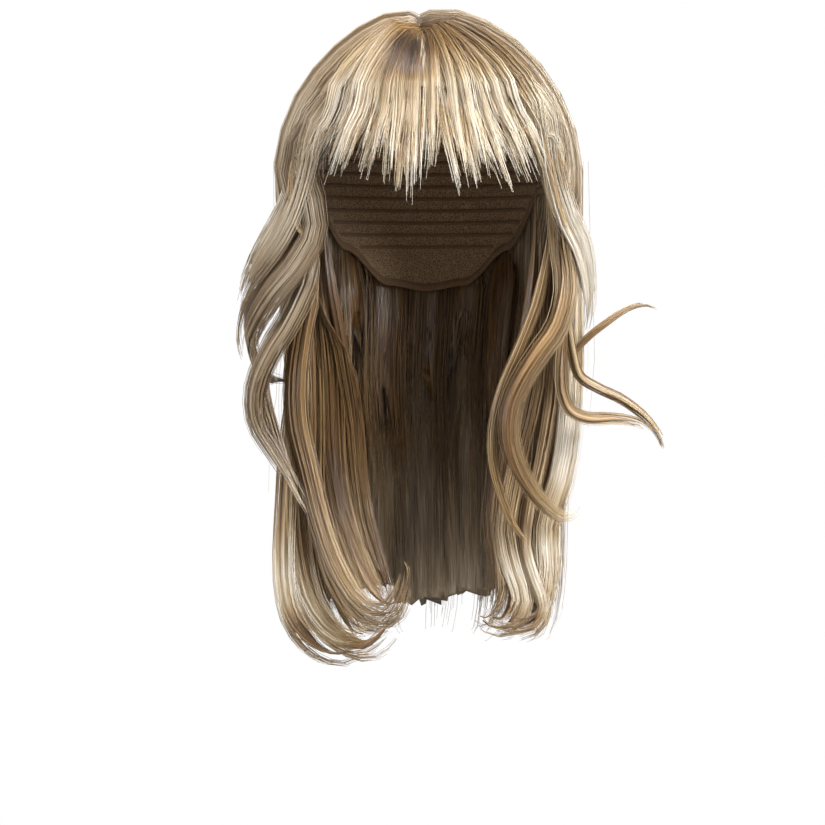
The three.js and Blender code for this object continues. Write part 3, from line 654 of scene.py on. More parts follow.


# The tone tables along the locks mix the hair's own colour with painted light: the pale peaks are painted
# highlights where light catches a lock, and the darker inner locks and curls are painted shade
lockLooks = {
    "side_length_left": {
        "locks": [
            shaped(1.35, 1.35, 0.45, [(0, 0.5), (0.2, 0.48), (0.35, 0.42), (0.46, 0.64), (0.53, 1.0),
                (0.6, 0.92), (0.7, 0.54), (1, 0.46)],
                (-1.06, 0.06, 0.86), (-1.04, 0.08, 1.245), (-0.98, 0.06, 1.42), (-1.04, -0.02, 1.56),
                (-1.07, -0.05, 1.7), (-1.07, -0.12, 1.83), (-1.01, -0.19, 1.905), (-0.87, -0.27, 1.95),
                (-0.68, -0.35, 1.968), (-0.5, -0.42, 1.945)),
            shaped(1.2, 1.2, 0.5, [(0, 0.5), (0.14, 0.5), (0.3, 0.34), (0.6, 0.42), (1, 0.55)],
                (-1.0, 0.34, 0.86), (-0.95, 0.37, 1.245), (-0.86, 0.37, 1.455), (-0.78, 0.34, 1.61),
                (-0.74, 0.27, 1.75), (-0.72, 0.15, 1.86), (-0.58, 0.02, 1.935), (-0.42, -0.08, 1.94)),
        ],
        "curls": [
            shaped(1.1, 1.3, 0.6, [(0, 0.46), (0.4, 0.44), (0.58, 0.82), (0.66, 0.7), (0.78, 0.5),
                (1, 0.44)],
                (-1.0, 0.1, 1.2), (-0.98, 0.04, 1.35), (-0.99, 0.0, 1.5), (-1.0, -0.05, 1.64),
                (-0.97, -0.1, 1.77), (-0.88, -0.17, 1.87), (-0.7, -0.26, 1.935), (-0.5, -0.34, 1.95),
                (-0.34, -0.4, 1.92), (-0.25, -0.42, 1.87)),
            shaped(0.8, 1.0, 0.5, [(0, 0.5), (0.25, 0.42), (0.4, 0.34), (0.6, 0.66), (0.8, 0.48), (1, 0.46)],
                (-0.92, 0.1, 1.1), (-0.88, 0.02, 1.3), (-0.86, 0.02, 1.5), (-0.86, -0.02, 1.63),
                (-0.8, -0.09, 1.75), (-0.68, -0.17, 1.84), (-0.52, -0.25, 1.9), (-0.36, -0.32, 1.905),
                (-0.26, -0.36, 1.87)),
            shaped(0.7, 1.0, 0.5, [(0, 0.4), (0.22, 0.4), (0.42, 0.32), (0.66, 0.56), (0.85, 0.44),
                (1, 0.42)],
                (-0.84, 0.0, 1.05), (-0.8, -0.04, 1.22), (-0.74, 0.02, 1.4), (-0.72, 0.02, 1.56),
                (-0.66, -0.04, 1.68), (-0.54, -0.12, 1.78), (-0.4, -0.2, 1.85), (-0.28, -0.26, 1.87),
                (-0.2, -0.3, 1.84)),
            shaped(0.6, 0.9, 0.6, [(0, 0.34), (0.2, 0.3), (0.38, 0.32), (0.65, 0.4), (1, 0.42)],
                (-0.82, -0.06, 1.0), (-0.76, -0.1, 1.18), (-0.66, -0.04, 1.34), (-0.58, 0.04, 1.48),
                (-0.54, 0.06, 1.6), (-0.48, 0.02, 1.7), (-0.4, -0.04, 1.78), (-0.32, -0.1, 1.84),
                (-0.28, -0.14, 1.87)),
            shaped(1.4, 0.9, 0.5, [(0, 0.48), (0.5, 0.48), (0.8, 0.6), (1, 0.5)],
                (-0.98, 0.3, 1.0), (-1.0, 0.3, 1.3), (-1.0, 0.3, 1.5), (-1.0, 0.28, 1.65),
                (-0.96, 0.22, 1.79), (-0.84, 0.12, 1.88), (-0.66, 0.0, 1.93)),
        ],
        "Clumps": 16, "Strands per clump": 10, "steps": 20, "Shortest": 0.86, "Tone spread": 0.15,
        "Wave": 4.6 * mm,
    },
    "side_length_right": {
        "locks": [
            shaped(1.25, 1.3, 0.45, [(0, 0.8), (0.12, 0.92), (0.2, 0.74), (0.28, 1.0), (0.37, 1.0),
                (0.47, 0.64), (0.56, 0.98), (0.64, 0.86), (0.76, 0.48), (1, 0.36)],
                (1.08, 0.06, 0.86), (1.09, 0.08, 1.245), (1.08, 0.06, 1.455), (1.02, 0, 1.595),
                (0.89, -0.06, 1.72), (0.9, -0.11, 1.82), (0.84, -0.19, 1.89), (0.68, -0.28, 1.915),
                (0.52, -0.35, 1.9)),
            shaped(1.2, 1.2, 0.5, [(0, 0.4), (0.2, 0.4), (0.45, 0.38), (0.56, 0.66), (0.7, 0.5), (1, 0.42)],
                (1.0, 0.34, 0.86), (0.95, 0.37, 1.245), (0.85, 0.37, 1.455), (0.78, 0.34, 1.61),
                (0.74, 0.27, 1.74), (0.7, 0.15, 1.85), (0.58, 0.03, 1.91), (0.44, -0.07, 1.895)),
        ],
        "curls": [
            shaped(0.75, 1.0, 0.6, [(0, 0.5), (0.45, 0.54), (0.58, 1.0), (0.66, 0.94), (0.78, 0.48),
                (1, 0.34)],
                (0.98, 0.1, 1.15), (0.98, 0.04, 1.32), (0.94, 0.04, 1.46), (0.86, 0.0, 1.58),
                (0.78, -0.06, 1.68), (0.75, -0.12, 1.76), (0.82, -0.17, 1.83), (0.88, -0.21, 1.88),
                (0.8, -0.25, 1.92), (0.62, -0.3, 1.925), (0.48, -0.33, 1.9)),
            shaped(0.75, 1.0, 0.6, [(0, 0.46), (0.3, 0.4), (0.5, 0.56), (0.6, 0.96), (0.68, 0.84),
                (0.78, 0.5), (1, 0.46)],
                (0.88, 0.0, 1.05), (0.88, -0.02, 1.25), (0.84, 0.02, 1.42), (0.74, 0.02, 1.54),
                (0.65, -0.02, 1.64), (0.6, -0.08, 1.73), (0.66, -0.14, 1.81), (0.72, -0.2, 1.87),
                (0.62, -0.26, 1.915), (0.46, -0.3, 1.91), (0.36, -0.32, 1.87)),
            shaped(0.6, 0.9, 0.6, [(0, 0.44), (0.4, 0.26), (0.66, 0.5), (0.8, 0.5), (1, 0.42)],
                (0.84, -0.06, 1.0), (0.82, -0.1, 1.18), (0.74, -0.06, 1.34), (0.64, 0.02, 1.48),
                (0.58, 0.04, 1.6), (0.53, 0.0, 1.7), (0.57, -0.08, 1.8), (0.56, -0.15, 1.87),
                (0.45, -0.2, 1.9), (0.34, -0.24, 1.88)),
            shaped(1.4, 0.9, 0.5, [(0, 0.5), (0.5, 0.5), (0.8, 0.6), (1, 0.5)],
                (0.98, 0.3, 1.0), (1.0, 0.3, 1.3), (0.98, 0.3, 1.5), (0.93, 0.28, 1.65), (0.87, 0.22, 1.77),
                (0.78, 0.12, 1.86), (0.62, 0.0, 1.9)),
        ],
        "Clumps": 16, "Strands per clump": 10, "steps": 20, "Shortest": 0.86, "Tone spread": 0.15,
        "Wave": 4.6 * mm,
    },
    "wing_left_upper": {
        "locks": [
            shaped(0.95, 0.9, 0.35, [(0, 0.6), (0.4, 0.78), (0.7, 0.62), (1, 0.5)],
                (-0.93, -0.56, 0.925), (-1.03, -0.51, 1.06), (-1.18, -0.43, 1.13), (-1.32, -0.33, 1.185),
                (-1.41, -0.23, 1.235)),
        ],
        "Clumps": 16, "steps": 20, "shade": "ashen", "lead": [(-50, 0.4, 7), (-53, 0.72, 2.5)],
        "tail": [(-1.45, -0.16, 1.27)], "Uneven": 0.8,
    },
    "wing_left_middle": {
        "locks": [
            shaped(1.05, 0.9, 0.3, [(0, 0.5), (0.3, 0.5), (0.6, 0.4), (0.8, 0.52), (1, 0.4)],
                (-0.9, -0.53, 1.09), (-1.02, -0.51, 1.155), (-1.2, -0.44, 1.215), (-1.33, -0.34, 1.275),
                (-1.38, -0.26, 1.325), (-1.36, -0.2, 1.37)),
        ],
        "Clumps": 16, "steps": 20, "shade": "ashen", "lead": [(-57, 0.55, 8), (-60, 0.92, 2.5)],
        "tail": [(-1.32, -0.15, 1.405)], "Uneven": 0.82,
    },
    "wing_left_lower": {
        "locks": [
            shaped(0.65, 0.75, 0.3, [(0, 0.5), (0.25, 0.6), (0.45, 0.42), (0.7, 0.5), (0.9, 0.6), (1, 0.6)],
                (-0.88, -0.42, 1.16), (-1.02, -0.44, 1.27), (-1.2, -0.42, 1.35), (-1.31, -0.38, 1.425),
                (-1.3, -0.36, 1.495), (-1.17, -0.38, 1.555), (-1.03, -0.44, 1.615), (-0.93, -0.48, 1.665),
                (-0.87, -0.45, 1.685)),
        ],
        "loose": [
            shaped(0.2, 0.2, 0.4, 0.5,
                (-1.28, -0.26, 1.26), (-1.34, -0.22, 1.33), (-1.28, -0.25, 1.38), (-1.18, -0.28, 1.405),
                (-1.04, -0.24, 1.41)),
            shaped(0.22, 0.22, 0.4, 0.5,
                (-1.26, -0.36, 1.36), (-1.24, -0.34, 1.44), (-1.18, -0.34, 1.5), (-1.1, -0.37, 1.57),
                (-0.99, -0.42, 1.644)),
        ],
        "Clumps": 12, "steps": 24, "lead": [(-64, 0.75, 8), (-66, 1.08, 3)], "Strands per clump": 10,
        "shade": "ashen",
    },
    "front_lock_left": {
        "locks": [
            shaped(0.6, 0.75, 0.45, [(0, 0.34), (0.4, 0.42), (0.6, 0.6), (0.8, 0.5), (1, 0.66)],
                (-0.87, -0.3, 1.215), (-0.95, -0.33, 1.305), (-1.0, -0.33, 1.4), (-0.99, -0.31, 1.495),
                (-0.91, -0.33, 1.59), (-0.82, -0.38, 1.685), (-0.69, -0.47, 1.785), (-0.48, -0.6, 1.865),
                (-0.29, -0.71, 1.87), (-0.19, -0.76, 1.82)),
        ],
        "Clumps": 10, "steps": 28, "Strands per clump": 13, "Shortest": 0.9, "Wave": 3 * mm,
        "tail": [(-0.17, -0.78, 1.785), (-0.21, -0.79, 1.757)],
    },
    "front_lock_right": {
        "locks": [
            shaped(0.62, 0.75, 0.3, [(0, 0.5), (0.25, 0.56), (0.5, 0.42), (0.7, 0.46), (0.88, 0.72),
                (1, 0.6)],
                (1.0, -0.44, 1.125), (1.04, -0.5, 1.225), (0.97, -0.53, 1.3), (0.84, -0.55, 1.35),
                (0.71, -0.57, 1.405), (0.62, -0.57, 1.465), (0.62, -0.55, 1.535), (0.7, -0.53, 1.595),
                (0.84, -0.51, 1.65), (0.99, -0.47, 1.685), (1.1, -0.42, 1.685)),
        ],
        "loose": [
            shaped(0.16, 0.16, 0.4, 0.5,
                (0.94, -0.36, 1.06), (0.9, -0.36, 1.16), (0.83, -0.38, 1.25), (0.7, -0.41, 1.34),
                (0.57, -0.44, 1.42), (0.5, -0.46, 1.5), (0.5, -0.46, 1.57), (0.55, -0.45, 1.63),
                (0.65, -0.43, 1.7), (0.78, -0.41, 1.745)),
        ],
        "Clumps": 10, "steps": 30, "Strands per clump": 11, "Shortest": 0.95, "Wave": 2.4 * mm,
        "lead": [(54, 0.6, 8), (57, 0.95, 3)], "tail": [(1.19, -0.39, 1.665)],
    },
    "side_lock_right": {
        "locks": [
            shaped(0.75, 0.75, 0.3, [(0, 0.74), (0.6, 0.94), (1, 0.8)],
                (0.93, -0.56, 0.925), (1.03, -0.51, 1.07), (1.14, -0.43, 1.13), (1.2, -0.34, 1.195),
                (1.23, -0.27, 1.27), (1.2, -0.23, 1.325)),
        ],
        "Clumps": 13, "steps": 18, "Uneven": 0.82, "shade": "ashen", "lead": [(50, 0.4, 7), (53, 0.72, 2.5)],
    },
    "flick_right_lower": {
        "locks": [
            shaped(0.32, 0.45, 0.3, [(0, 0.5), (0.4, 0.62), (1, 0.6)],
                (1.03, -0.4, 1.31), (1.02, -0.43, 1.425), (1.09, -0.43, 1.47), (1.22, -0.42, 1.485),
                (1.42, -0.38, 1.485), (1.62, -0.33, 1.495), (1.76, -0.28, 1.525)),
        ],
        "Clumps": 4, "Strands per clump": 13, "steps": 22, "Clump size": 1.8 * mm, "Wave": 1.4 * mm,
        "Frizz": 1.2 * mm,
    },
    "flick_right_middle": {
        "locks": [
            shaped(0.24, 0.4, 0.3, [(0, 0.5), (0.5, 0.56), (1, 0.55)],
                (1.06, -0.34, 1.27), (1.1, -0.35, 1.35), (1.16, -0.33, 1.4), (1.3, -0.31, 1.425),
                (1.5, -0.27, 1.45), (1.69, -0.23, 1.49), (1.8, -0.2, 1.53), (1.84, -0.17, 1.565)),
        ],
        "Clumps": 4, "Strands per clump": 10, "steps": 22, "Clump size": 1.5 * mm, "Wave": 1.4 * mm,
        "Frizz": 1.2 * mm,
    },
    "flick_right_upper": {
        "locks": [
            shaped(0.2, 0.35, 0.3, [(0, 0.5), (1, 0.62)],
                (1.1, -0.2, 1.36), (1.22, -0.21, 1.325), (1.36, -0.21, 1.295), (1.53, -0.18, 1.265),
                (1.68, -0.13, 1.255), (1.79, -0.09, 1.265)),
        ],
        "Clumps": 3, "Strands per clump": 9, "steps": 20, "Clump size": 1.2 * mm, "Wave": 1.0 * mm,
        "Frizz": 1.0 * mm,
    },
    "temple_lock_left": {
        "locks": [
            shaped(0.4, 0.45, 0.4, 0.55,
                (-0.93, -0.64, 0.87), (-0.97, -0.62, 0.98), (-0.98, -0.6, 1.06), (-0.95, -0.61, 1.1),
                (-0.89, -0.63, 1.115)),
        ],
        "Clumps": 5, "Strands per clump": 13, "steps": 14, "Clump size": 2.2 * mm,
        "lead": [(-46, 0.45, 8), (-50, 0.74, 3)],
    },
    "temple_lock_right": {
        "locks": [
            shaped(0.42, 0.45, 0.5, 0.7,
                (0.86, -0.69, 0.8), (0.91, -0.67, 0.93), (0.95, -0.63, 1.04), (1.02, -0.61, 1.1),
                (1.07, -0.58, 1.145)),
        ],
        "Clumps": 5, "Strands per clump": 13, "steps": 14, "Clump size": 2.2 * mm,
        "lead": [(44, 0.4, 8), (46, 0.65, 3)],
    },
}

# Stray hairs that lie across the side lengths
strayStyle = {
    "Clumps": 8, "Strands per clump": 1, "Strand radius": 0.13 * mm, "Clump size": 9 * mm, "Tip gather": 0,
    "Flat": 0, "Wave": 12 * mm, "Waves": 3.0, "Frizz": 7 * mm, "Shortest": 0.5, "Tone spread": 0.2,
}


def pathOf(rows):
    return [place(*row) for row in rows]


def sizesOf(lock, root):
    return lock["width"] * lockWidth, lock["thickness"] * lockThickness, root, lock["tip"], lock["tone"]


def leadOf(style):  # from the crown down to the lock
    lead = []
    for turn, fall, depth in style.get("lead", []):
        share = fall / lookUp(crownEdge, turn % 360)
        lead.append(crownPoint(turn, share, -depth * mm - settled(turn, share)))
    return lead


for seed, (node, look) in enumerate(lockLooks.items(), 11):
    style = {**look, "Seed": seed}
    guides, bodies = [], []
    lead, tail = leadOf(style), pathOf(style.get("tail", []))
    for lock in style["locks"]:
        path = pathOf(lock["rows"])
        bodies.append(lockGuide(path, *sizesOf(lock, 0.65)))
        guides.append(lockGuide(lead + path + tail, *sizesOf(lock, 0.65), style["steps"], len(lead)))
    for loop in style.get("loose", []):
        guides.append(lockGuide(pathOf(loop["rows"]), *sizesOf(loop, 0.1), style["steps"]))
    for curl in style.get("curls", []):
        bodies.append(lockGuide(pathOf(curl["rows"]), *sizesOf(curl, 0.2)))
        guides.append(lockGuide(pathOf(curl["rows"]), *sizesOf(curl, 0.2), style["steps"]))
    small = node.startswith(("flick", "temple"))
    growBody(node + "_body", node, "hair_length", bodies,
             {"sides": 14 if small else 28, "rows": 24, "share": 0.5 if small else 0.66,
              "shade": style.get("shade", "golden")})
    growStrands(node + "_strands", node, "hair_length", guides, style)
    if "curls" in style:
        growStrands(node + "_stray", node, "hair_length", guides, {**strayStyle, "Seed": style["Seed"] + 60})
print("locks", sum(counts.values()))

# The long hair behind, a row of like locks that hang from the widest level
# Each row gives the drop, how far the lock stands off, its sway in degrees, and its drift to the right
backHang = [(0.69, 0.06, 0, 0), (1.01, 0.09, 0, 0), (1.19, 0.12, 1.5, 0), (1.375, 0.11, -1, 0),
            (1.555, 0.13, 1.5, -0.03), (1.74, 0.12, 0, -0.05), (1.87, 0.1, -1, -0.06),
            (1.955, 0.01, -1, -0.06), (1.965, -0.13, 0, -0.05)]
napeHang = [(1.125, 0.075, 0, 0), (1.255, 0.07, 0, 0), (1.415, 0.02, 2, 0), (1.585, -0.03, 0, 0),
            (1.715, -0.08, -2, 0)]


def hangingPath(turn, hang, lastHold):
    path = []
    for drop, out, sway, drift in hang:
        height = levelOf(drop)
        onDome = 2 / math.pi * math.acos(min(1, max(0, 1 + height / rise)))
        share = domeShare(min(max(onDome, -height / rise), lastHold))
        angle = math.radians(turn + sway)
        path.append(Vector((((share + out) * math.sin(angle) + drift) * halfBreadth,
                            -(share * halfLength + out * halfBreadth) * math.cos(angle), height)))
    return path


backStyle = {
    "node": "back_length", "hang": backHang, "hold": 1, "turns": (120, 140, 160, 180, 200, 220, 240),
    "width": 1.4, "thickness": 1.2, "tip": 0.95, "shade": "ashen", "steps": 16, "bodySteps": 40,
    "tone": [(0, 0.64), (0.3, 0.6), (0.5, 0.52), (0.7, 0.58), (0.85, 0.64), (1, 0.5)],
    "body": {"share": 0.9, "sides": 36, "rows": 26, "until": 0.82, "narrows": 0.6, "tipWidth": 0.85,
             "tipThickness": 0.12, "grooves": 9, "stagger": 0.05, "jag": 0.045, "shade": "ashen"},
    "Clumps": 20, "Strands per clump": 9, "Seed": 31, "Shortest": 0.8, "Uneven": 0.9, "Clump size": 6 * mm,
    "Tip gather": 0.25, "Wave": 4 * mm, "Frizz": 2.4 * mm, "Inner": 0.5,
}
# the nape hair's lower tone is painted shade, for hair that hangs underneath in the shadow of the back
napeStyle = {
    "node": "nape_hair", "hang": napeHang, "hold": 1.7, "turns": (142, 161, 180, 199, 218),
    "width": 0.95, "thickness": 0.6, "tip": 0.8, "tone": 0.38, "steps": 10, "bodySteps": 24,
    "body": {"share": 0.8, "sides": 22, "rows": 14, "until": 0.7, "narrows": 0.3, "tipWidth": 0.8,
             "tipThickness": 0.1, "grooves": 9, "stagger": 0.2, "jag": 0.25},
    "Clumps": 10, "Strands per clump": 10, "Seed": 32, "Shortest": 0.7, "Clump size": 5 * mm,
    "Frizz": 3 * mm, "Wave": 4 * mm, "Tip gather": 0.1, "Uneven": 0.8,
}


def hangingGuides(style, steps):
    return [lockGuide(hangingPath(turn, style["hang"], style["hold"]), *sizesOf(style, 0.65), steps)
            for turn in style["turns"]]


for name, slot, style in (("back_length", "hair_length", backStyle), ("nape", "hair_under", napeStyle)):
    growBody(name + "_body", style["node"], slot, hangingGuides(style, style["bodySteps"]), style["body"])
    growStrands(name + "_strands", style["node"], slot, hangingGuides(style, style["steps"]), style)
print("back", sum(counts.values()))

# The fringe. A strip's row: where it crosses the cap's front edge, its tip, the tip's fall and its width
strips = [
    (-0.57, -0.8, 1.04, 1.2), (-0.48, -0.68, 1.07, 1), (-0.4, -0.57, 1.06, 1), (-0.32, -0.46, 1.07, 0.8),
    (-0.25, -0.34, 1.05, 0.9), (-0.17, -0.21, 1.18, 1), (-0.09, -0.1, 1.27, 1), (0.03, -0.01, 1.07, 0.7),
    (0.13, 0.25, 1.17, 1), (0.24, 0.37, 1.16, 1.1), (0.33, 0.54, 1.13, 1.15), (0.42, 0.65, 1.07, 0.8),
    (0.54, 0.76, 1.06, 1), (0.65, 0.88, 1.06, 1.2),
]


def overCap(side, fall, lift):
    turn = math.asin(min(1, max(-1, side / domeShare(fall))))
    return domePoint(math.degrees(turn), fall, capWall + lift)


fringeStyle = {
    "Clumps": 6, "Strands per clump": 10, "Seed": 41, "Shortest": 0.72, "Inner": 0.1, "Clump size": 2.6 * mm,
    "Tip gather": 0.35, "Wave": 1.2 * mm, "Frizz": 1.0 * mm, "Strand radius": 0.17 * mm, "Tone spread": 0.1,
    "Uneven": 0.66,
}
frontStyle = {**fringeStyle, "Clumps": 10, "Seed": 42, "Inner": 0.2, "Clump size": 3.0 * mm, "Waves": 1.2,
              "Arc": math.pi, "Flat": 0.75, "Tone spread": 0.12}
fringeBody = {"share": 0.7, "sides": 12, "rows": 14, "until": 0.74, "narrows": 0.35, "tipWidth": 0.3,
              "tipThickness": 0.2, "grooves": 3, "jag": 0.2}
fringeLook = {
    "stripWidth": 14 * mm, "wider": 1.2, "frontWider": 1.3, "thickness": 3 * mm, "frontThickness": 4 * mm,
    "light": 0.06,  # how much paler it is than the crown's hair
    "shade": 0.54, "fringePaintedShadeAt": -0.14, "fringePaintedShadeWidth": 0.2,  # painted shade: a darker place left of the middle
    "late": 0.2, "rightPaintedShadeFrom": 0.1,  # painted shade: how much darker the right strips start
    "archRadius": 78.5 * mm, "archShift": 0.6 * mm,
}


def fringeTones(brow):
    light = fringeLook["light"]
    # the darker place left of the middle is painted shade
    shade = fringeLook["shade"] * hump((brow - fringeLook["fringePaintedShadeAt"]) / fringeLook["fringePaintedShadeWidth"])
    # the darker start of the right strips is painted shade
    late = fringeLook["late"] * smooth((brow - fringeLook["rightPaintedShadeFrom"]) / 0.2)
    front = [(0, 0.3), (0.1, 0.36), (0.3, 0.56 - shade - late), (0.45, 0.7 - shade - late),
             (0.62, 0.84 + light - shade / 2), (1, 0.94 + light)]
    return [(0, 0.4), (0.4, 0.64 + light - shade), (1, 0.86 + light)], front


fringeGuides, fringeBodies, frontGuides = [], [], []
for brow, end, tipFall, width in strips:
    middle = (brow + end) / 2
    width *= fringeLook["stripWidth"]
    tone, frontTone = fringeTones(brow)
    path = [overCap(brow * 0.6, 0.44, 1.2 * mm), overCap(brow, 0.66, 4.3 * mm),
            overCap(middle, (0.66 + tipFall) / 2, 9 * mm), overCap(end, tipFall, 10 * mm)]
    for made, steps in ((fringeGuides, 8), (fringeBodies, 20)):
        sizes = (width * fringeLook["wider"], fringeLook["thickness"], 1.05, 0.7)
        made.append(lockGuide(path, *sizes, tone, steps))
    turn = math.degrees(math.asin((brow * halfBreadth + fringeLook["archShift"]) / fringeLook["archRadius"]))
    later = math.degrees(math.asin(middle / domeShare((0.68 + tipFall) / 2)))
    path = [crownPoint(lerp(turn, later, max(0, share - 0.3)), share, -3 * mm)
            for share in (0, 0.2, 0.4, 0.6, 0.8, 0.95)]
    path += [overCap(middle, (0.68 + tipFall) / 2, 9.5 * mm), overCap(end, tipFall, 10 * mm)]
    sizes = (width * fringeLook["frontWider"], fringeLook["frontThickness"], 0.14, 0.75)
    frontGuides.append(lockGuide(path, *sizes, frontTone, 12))
growBody("fringe_body", "fringe", "hair_fringe", fringeBodies, fringeBody)
growStrands("fringe_strands", "fringe", "hair_fringe", fringeGuides, fringeStyle)
growStrands("crown_front_strands", "crown_hair", "hair_top", frontGuides, frontStyle)

# The crown: its body and the strands round it, which leave the parting
# Each sector's shift is painted light and shade: the left sector's hair darker and the right's a little
# lighter, as the key light falls from the right
crownSectors = {
    "crown_right_strands": {"turns": range(42, 133, 5), "shift": 0.02, "Seed": 51},
    "crown_back_strands": {"turns": range(136, 229, 5), "shift": 0.0, "Seed": 52},
    "crown_left_strands": {"turns": range(232, 328, 5), "shift": -0.1, "Seed": 53},
}
crownStyle = {
    "steps": 14, "depth": 4.6 * mm, "spread": 4.4, "base": 0.6,
    "dark": 0.24, "darkAt": 48, "darkWidth": 16,  # painted shade: a darker place beside the front, right of the parting
    "Clumps": 10, "Strands per clump": 6, "Shortest": 0.7, "Inner": 0.2, "Arc": math.pi, "shade": "ashen",
    "Flat": 0.8, "Clump size": 3.2 * mm, "Tip gather": 0.1, "Wave": 3.0 * mm, "Frizz": 2.0 * mm,
    "Strand radius": 0.2 * mm, "Tone spread": 0.16,
}
for name, sector in crownSectors.items():
    style = {**crownStyle, **sector}
    guides = []
    for turn in style["turns"]:
        # the darker place right of the parting is painted shade
        dark = style["dark"] * hump((turn - style["darkAt"]) / style["darkWidth"])
        base = style["base"] + style["shift"] - dark
        tone = [(0, 0.34), (0.08, 0.42), (0.25, base - 0.06), (0.45, base + 0.06), (0.8, base - 0.06),
                (1, base - 0.08)]
        reach = lerp(1.14, 1.6, smooth((fromFront(turn) - 52) / 28))
        guides.append(crownGuide(turn, -0.02, reach, style["depth"], style["spread"], tone, style["steps"]))
    growStrands(name, "crown_hair", "hair_top", guides, style)
print("crown", sum(counts.values()))

crownTones = [(0, 0.25), (0.15, 0.68), (0.5, 0.72), (1, 0.6), (2, 0.3)]  # 0 at the parting, 1 at the rim


def crownBody(columns=150, rows=44):
    outer = [r / rows for r in range(rows + 1)]
    inner = [1 - r / 10 for r in range(10)]

    def bedPoint(turn, share):
        fall = share * lookUp(crownEdge, turn)
        forFringe = 8.6 * mm * smooth((80 - fromFront(turn)) / 30) * smooth(fall / 0.6)
        forLength = 10 * mm * smooth((fromFront(turn) - 50) / 30) * smooth((fall - 0.5) / 0.5)
        thinning = 1 - crownShape["rimThinning"] * smooth((share - 0.75) / 0.25)
        outer = lerp(crownShape["topLift"], crownShape["sideLift"], smooth(fall)) * thinning - 4.5 * mm
        lift = min(0.6 * mm + forFringe + forLength, outer - settled(turn, share) - 1 * mm)
        point = domePoint(turn, min(fall, 1), capWall + lift)
        if fall > 1:
            point.z = -fall * rise
        return point

    turns = [360 * c / columns for c in range(columns)]
    until = [lerp(0.84, 1, smooth((fromFront(turn) - 44) / 16)) for turn in turns]
    rings = [[crownPoint(turn, share * u, lerp(-2.2, -4.5, smooth(share * 3 - 2)) * mm - settled(turn, share))
              for turn, u in zip(turns, until)] for share in outer]
    rings += [[bedPoint(turn, share * u) for turn, u in zip(turns, until)] for share in inner]
    verts = [point for ring in rings for point in ring]
    tones = [lookUp(crownTones, r / rows) for r in range(len(rings)) for _ in range(columns)]
    last = len(rings) - 1

    def corner(c, r):
        return 0.01 + 0.98 * c / columns, 0.01 + 0.98 * r / (last + 1)

    faces, flat = ringFaces(0, columns, len(rings), corner)
    for c in range(columns):
        faces.append((last * columns + c, last * columns + (c + 1) % columns, len(verts)))
        flat += [corner(c, last), corner(c + 1, last), corner(c + 0.5, last + 1)]
    verts.append(bedPoint(0, 0))
    tones.append(0.3)
    mesh = meshWithMap("crown_body", verts, faces, flat, tones, 2 * math.pi * halfLength / hairGap, 230)
    work = bmesh.new()
    work.from_mesh(mesh)
    bmesh.ops.remove_doubles(work, verts=work.verts, dist=0.02 * mm)
    bmesh.ops.dissolve_degenerate(work, edges=work.edges, dist=0.01 * mm)
    bmesh.ops.recalc_face_normals(work, faces=work.faces)
    work.to_mesh(mesh)
    work.free()
    mesh.materials.append(bodyLooks["ashen"])
    return finishPiece(bpy.data.objects.new("crown_body", mesh), "crown_hair", "hair_top")


crownBody()

# The cap: a thin net, and a band along its edge


def capMesh(name, verts, faces, look):
    mesh = bpy.data.meshes.new(name)
    mesh.from_pydata(verts, [], faces)
    mesh.polygons.foreach_set("use_smooth", [True] * len(mesh.polygons))
    mesh.materials.append(look)
    facesOutward(mesh)
    finishPiece(bpy.data.objects.new(name, mesh), "cap", "cap_net")


def capShell(columns=120, rows=28):
    outer, inner = capWall * 0.75, capWall * 0.2
    turns = [360 * c / columns for c in range(columns)]
    levels = [(r + 1, outer) for r in range(rows)] + [(rows - r, inner) for r in range(rows)]
    edges = [lookUp(capEdge, fromFront(turn)) for turn in turns]
    verts = [domePoint(turn, edge * r / rows, lift) for r, lift in levels for turn, edge in zip(turns, edges)]
    verts += [domePoint(0, 0, outer), domePoint(0, 0, inner)]
    faces = [(a, d, c, b) for a, b, c, d in ringFaces(0, columns, 2 * rows, lambda *_: 0)[0]]
    top, bottom, last = 2 * rows * columns, 2 * rows * columns + 1, (2 * rows - 1) * columns
    for c in range(columns):
        n = (c + 1) % columns
        faces += [(top, c, n), (bottom, last + n, last + c)]
    capMesh("cap_net", verts, faces, netLook)


capShell()


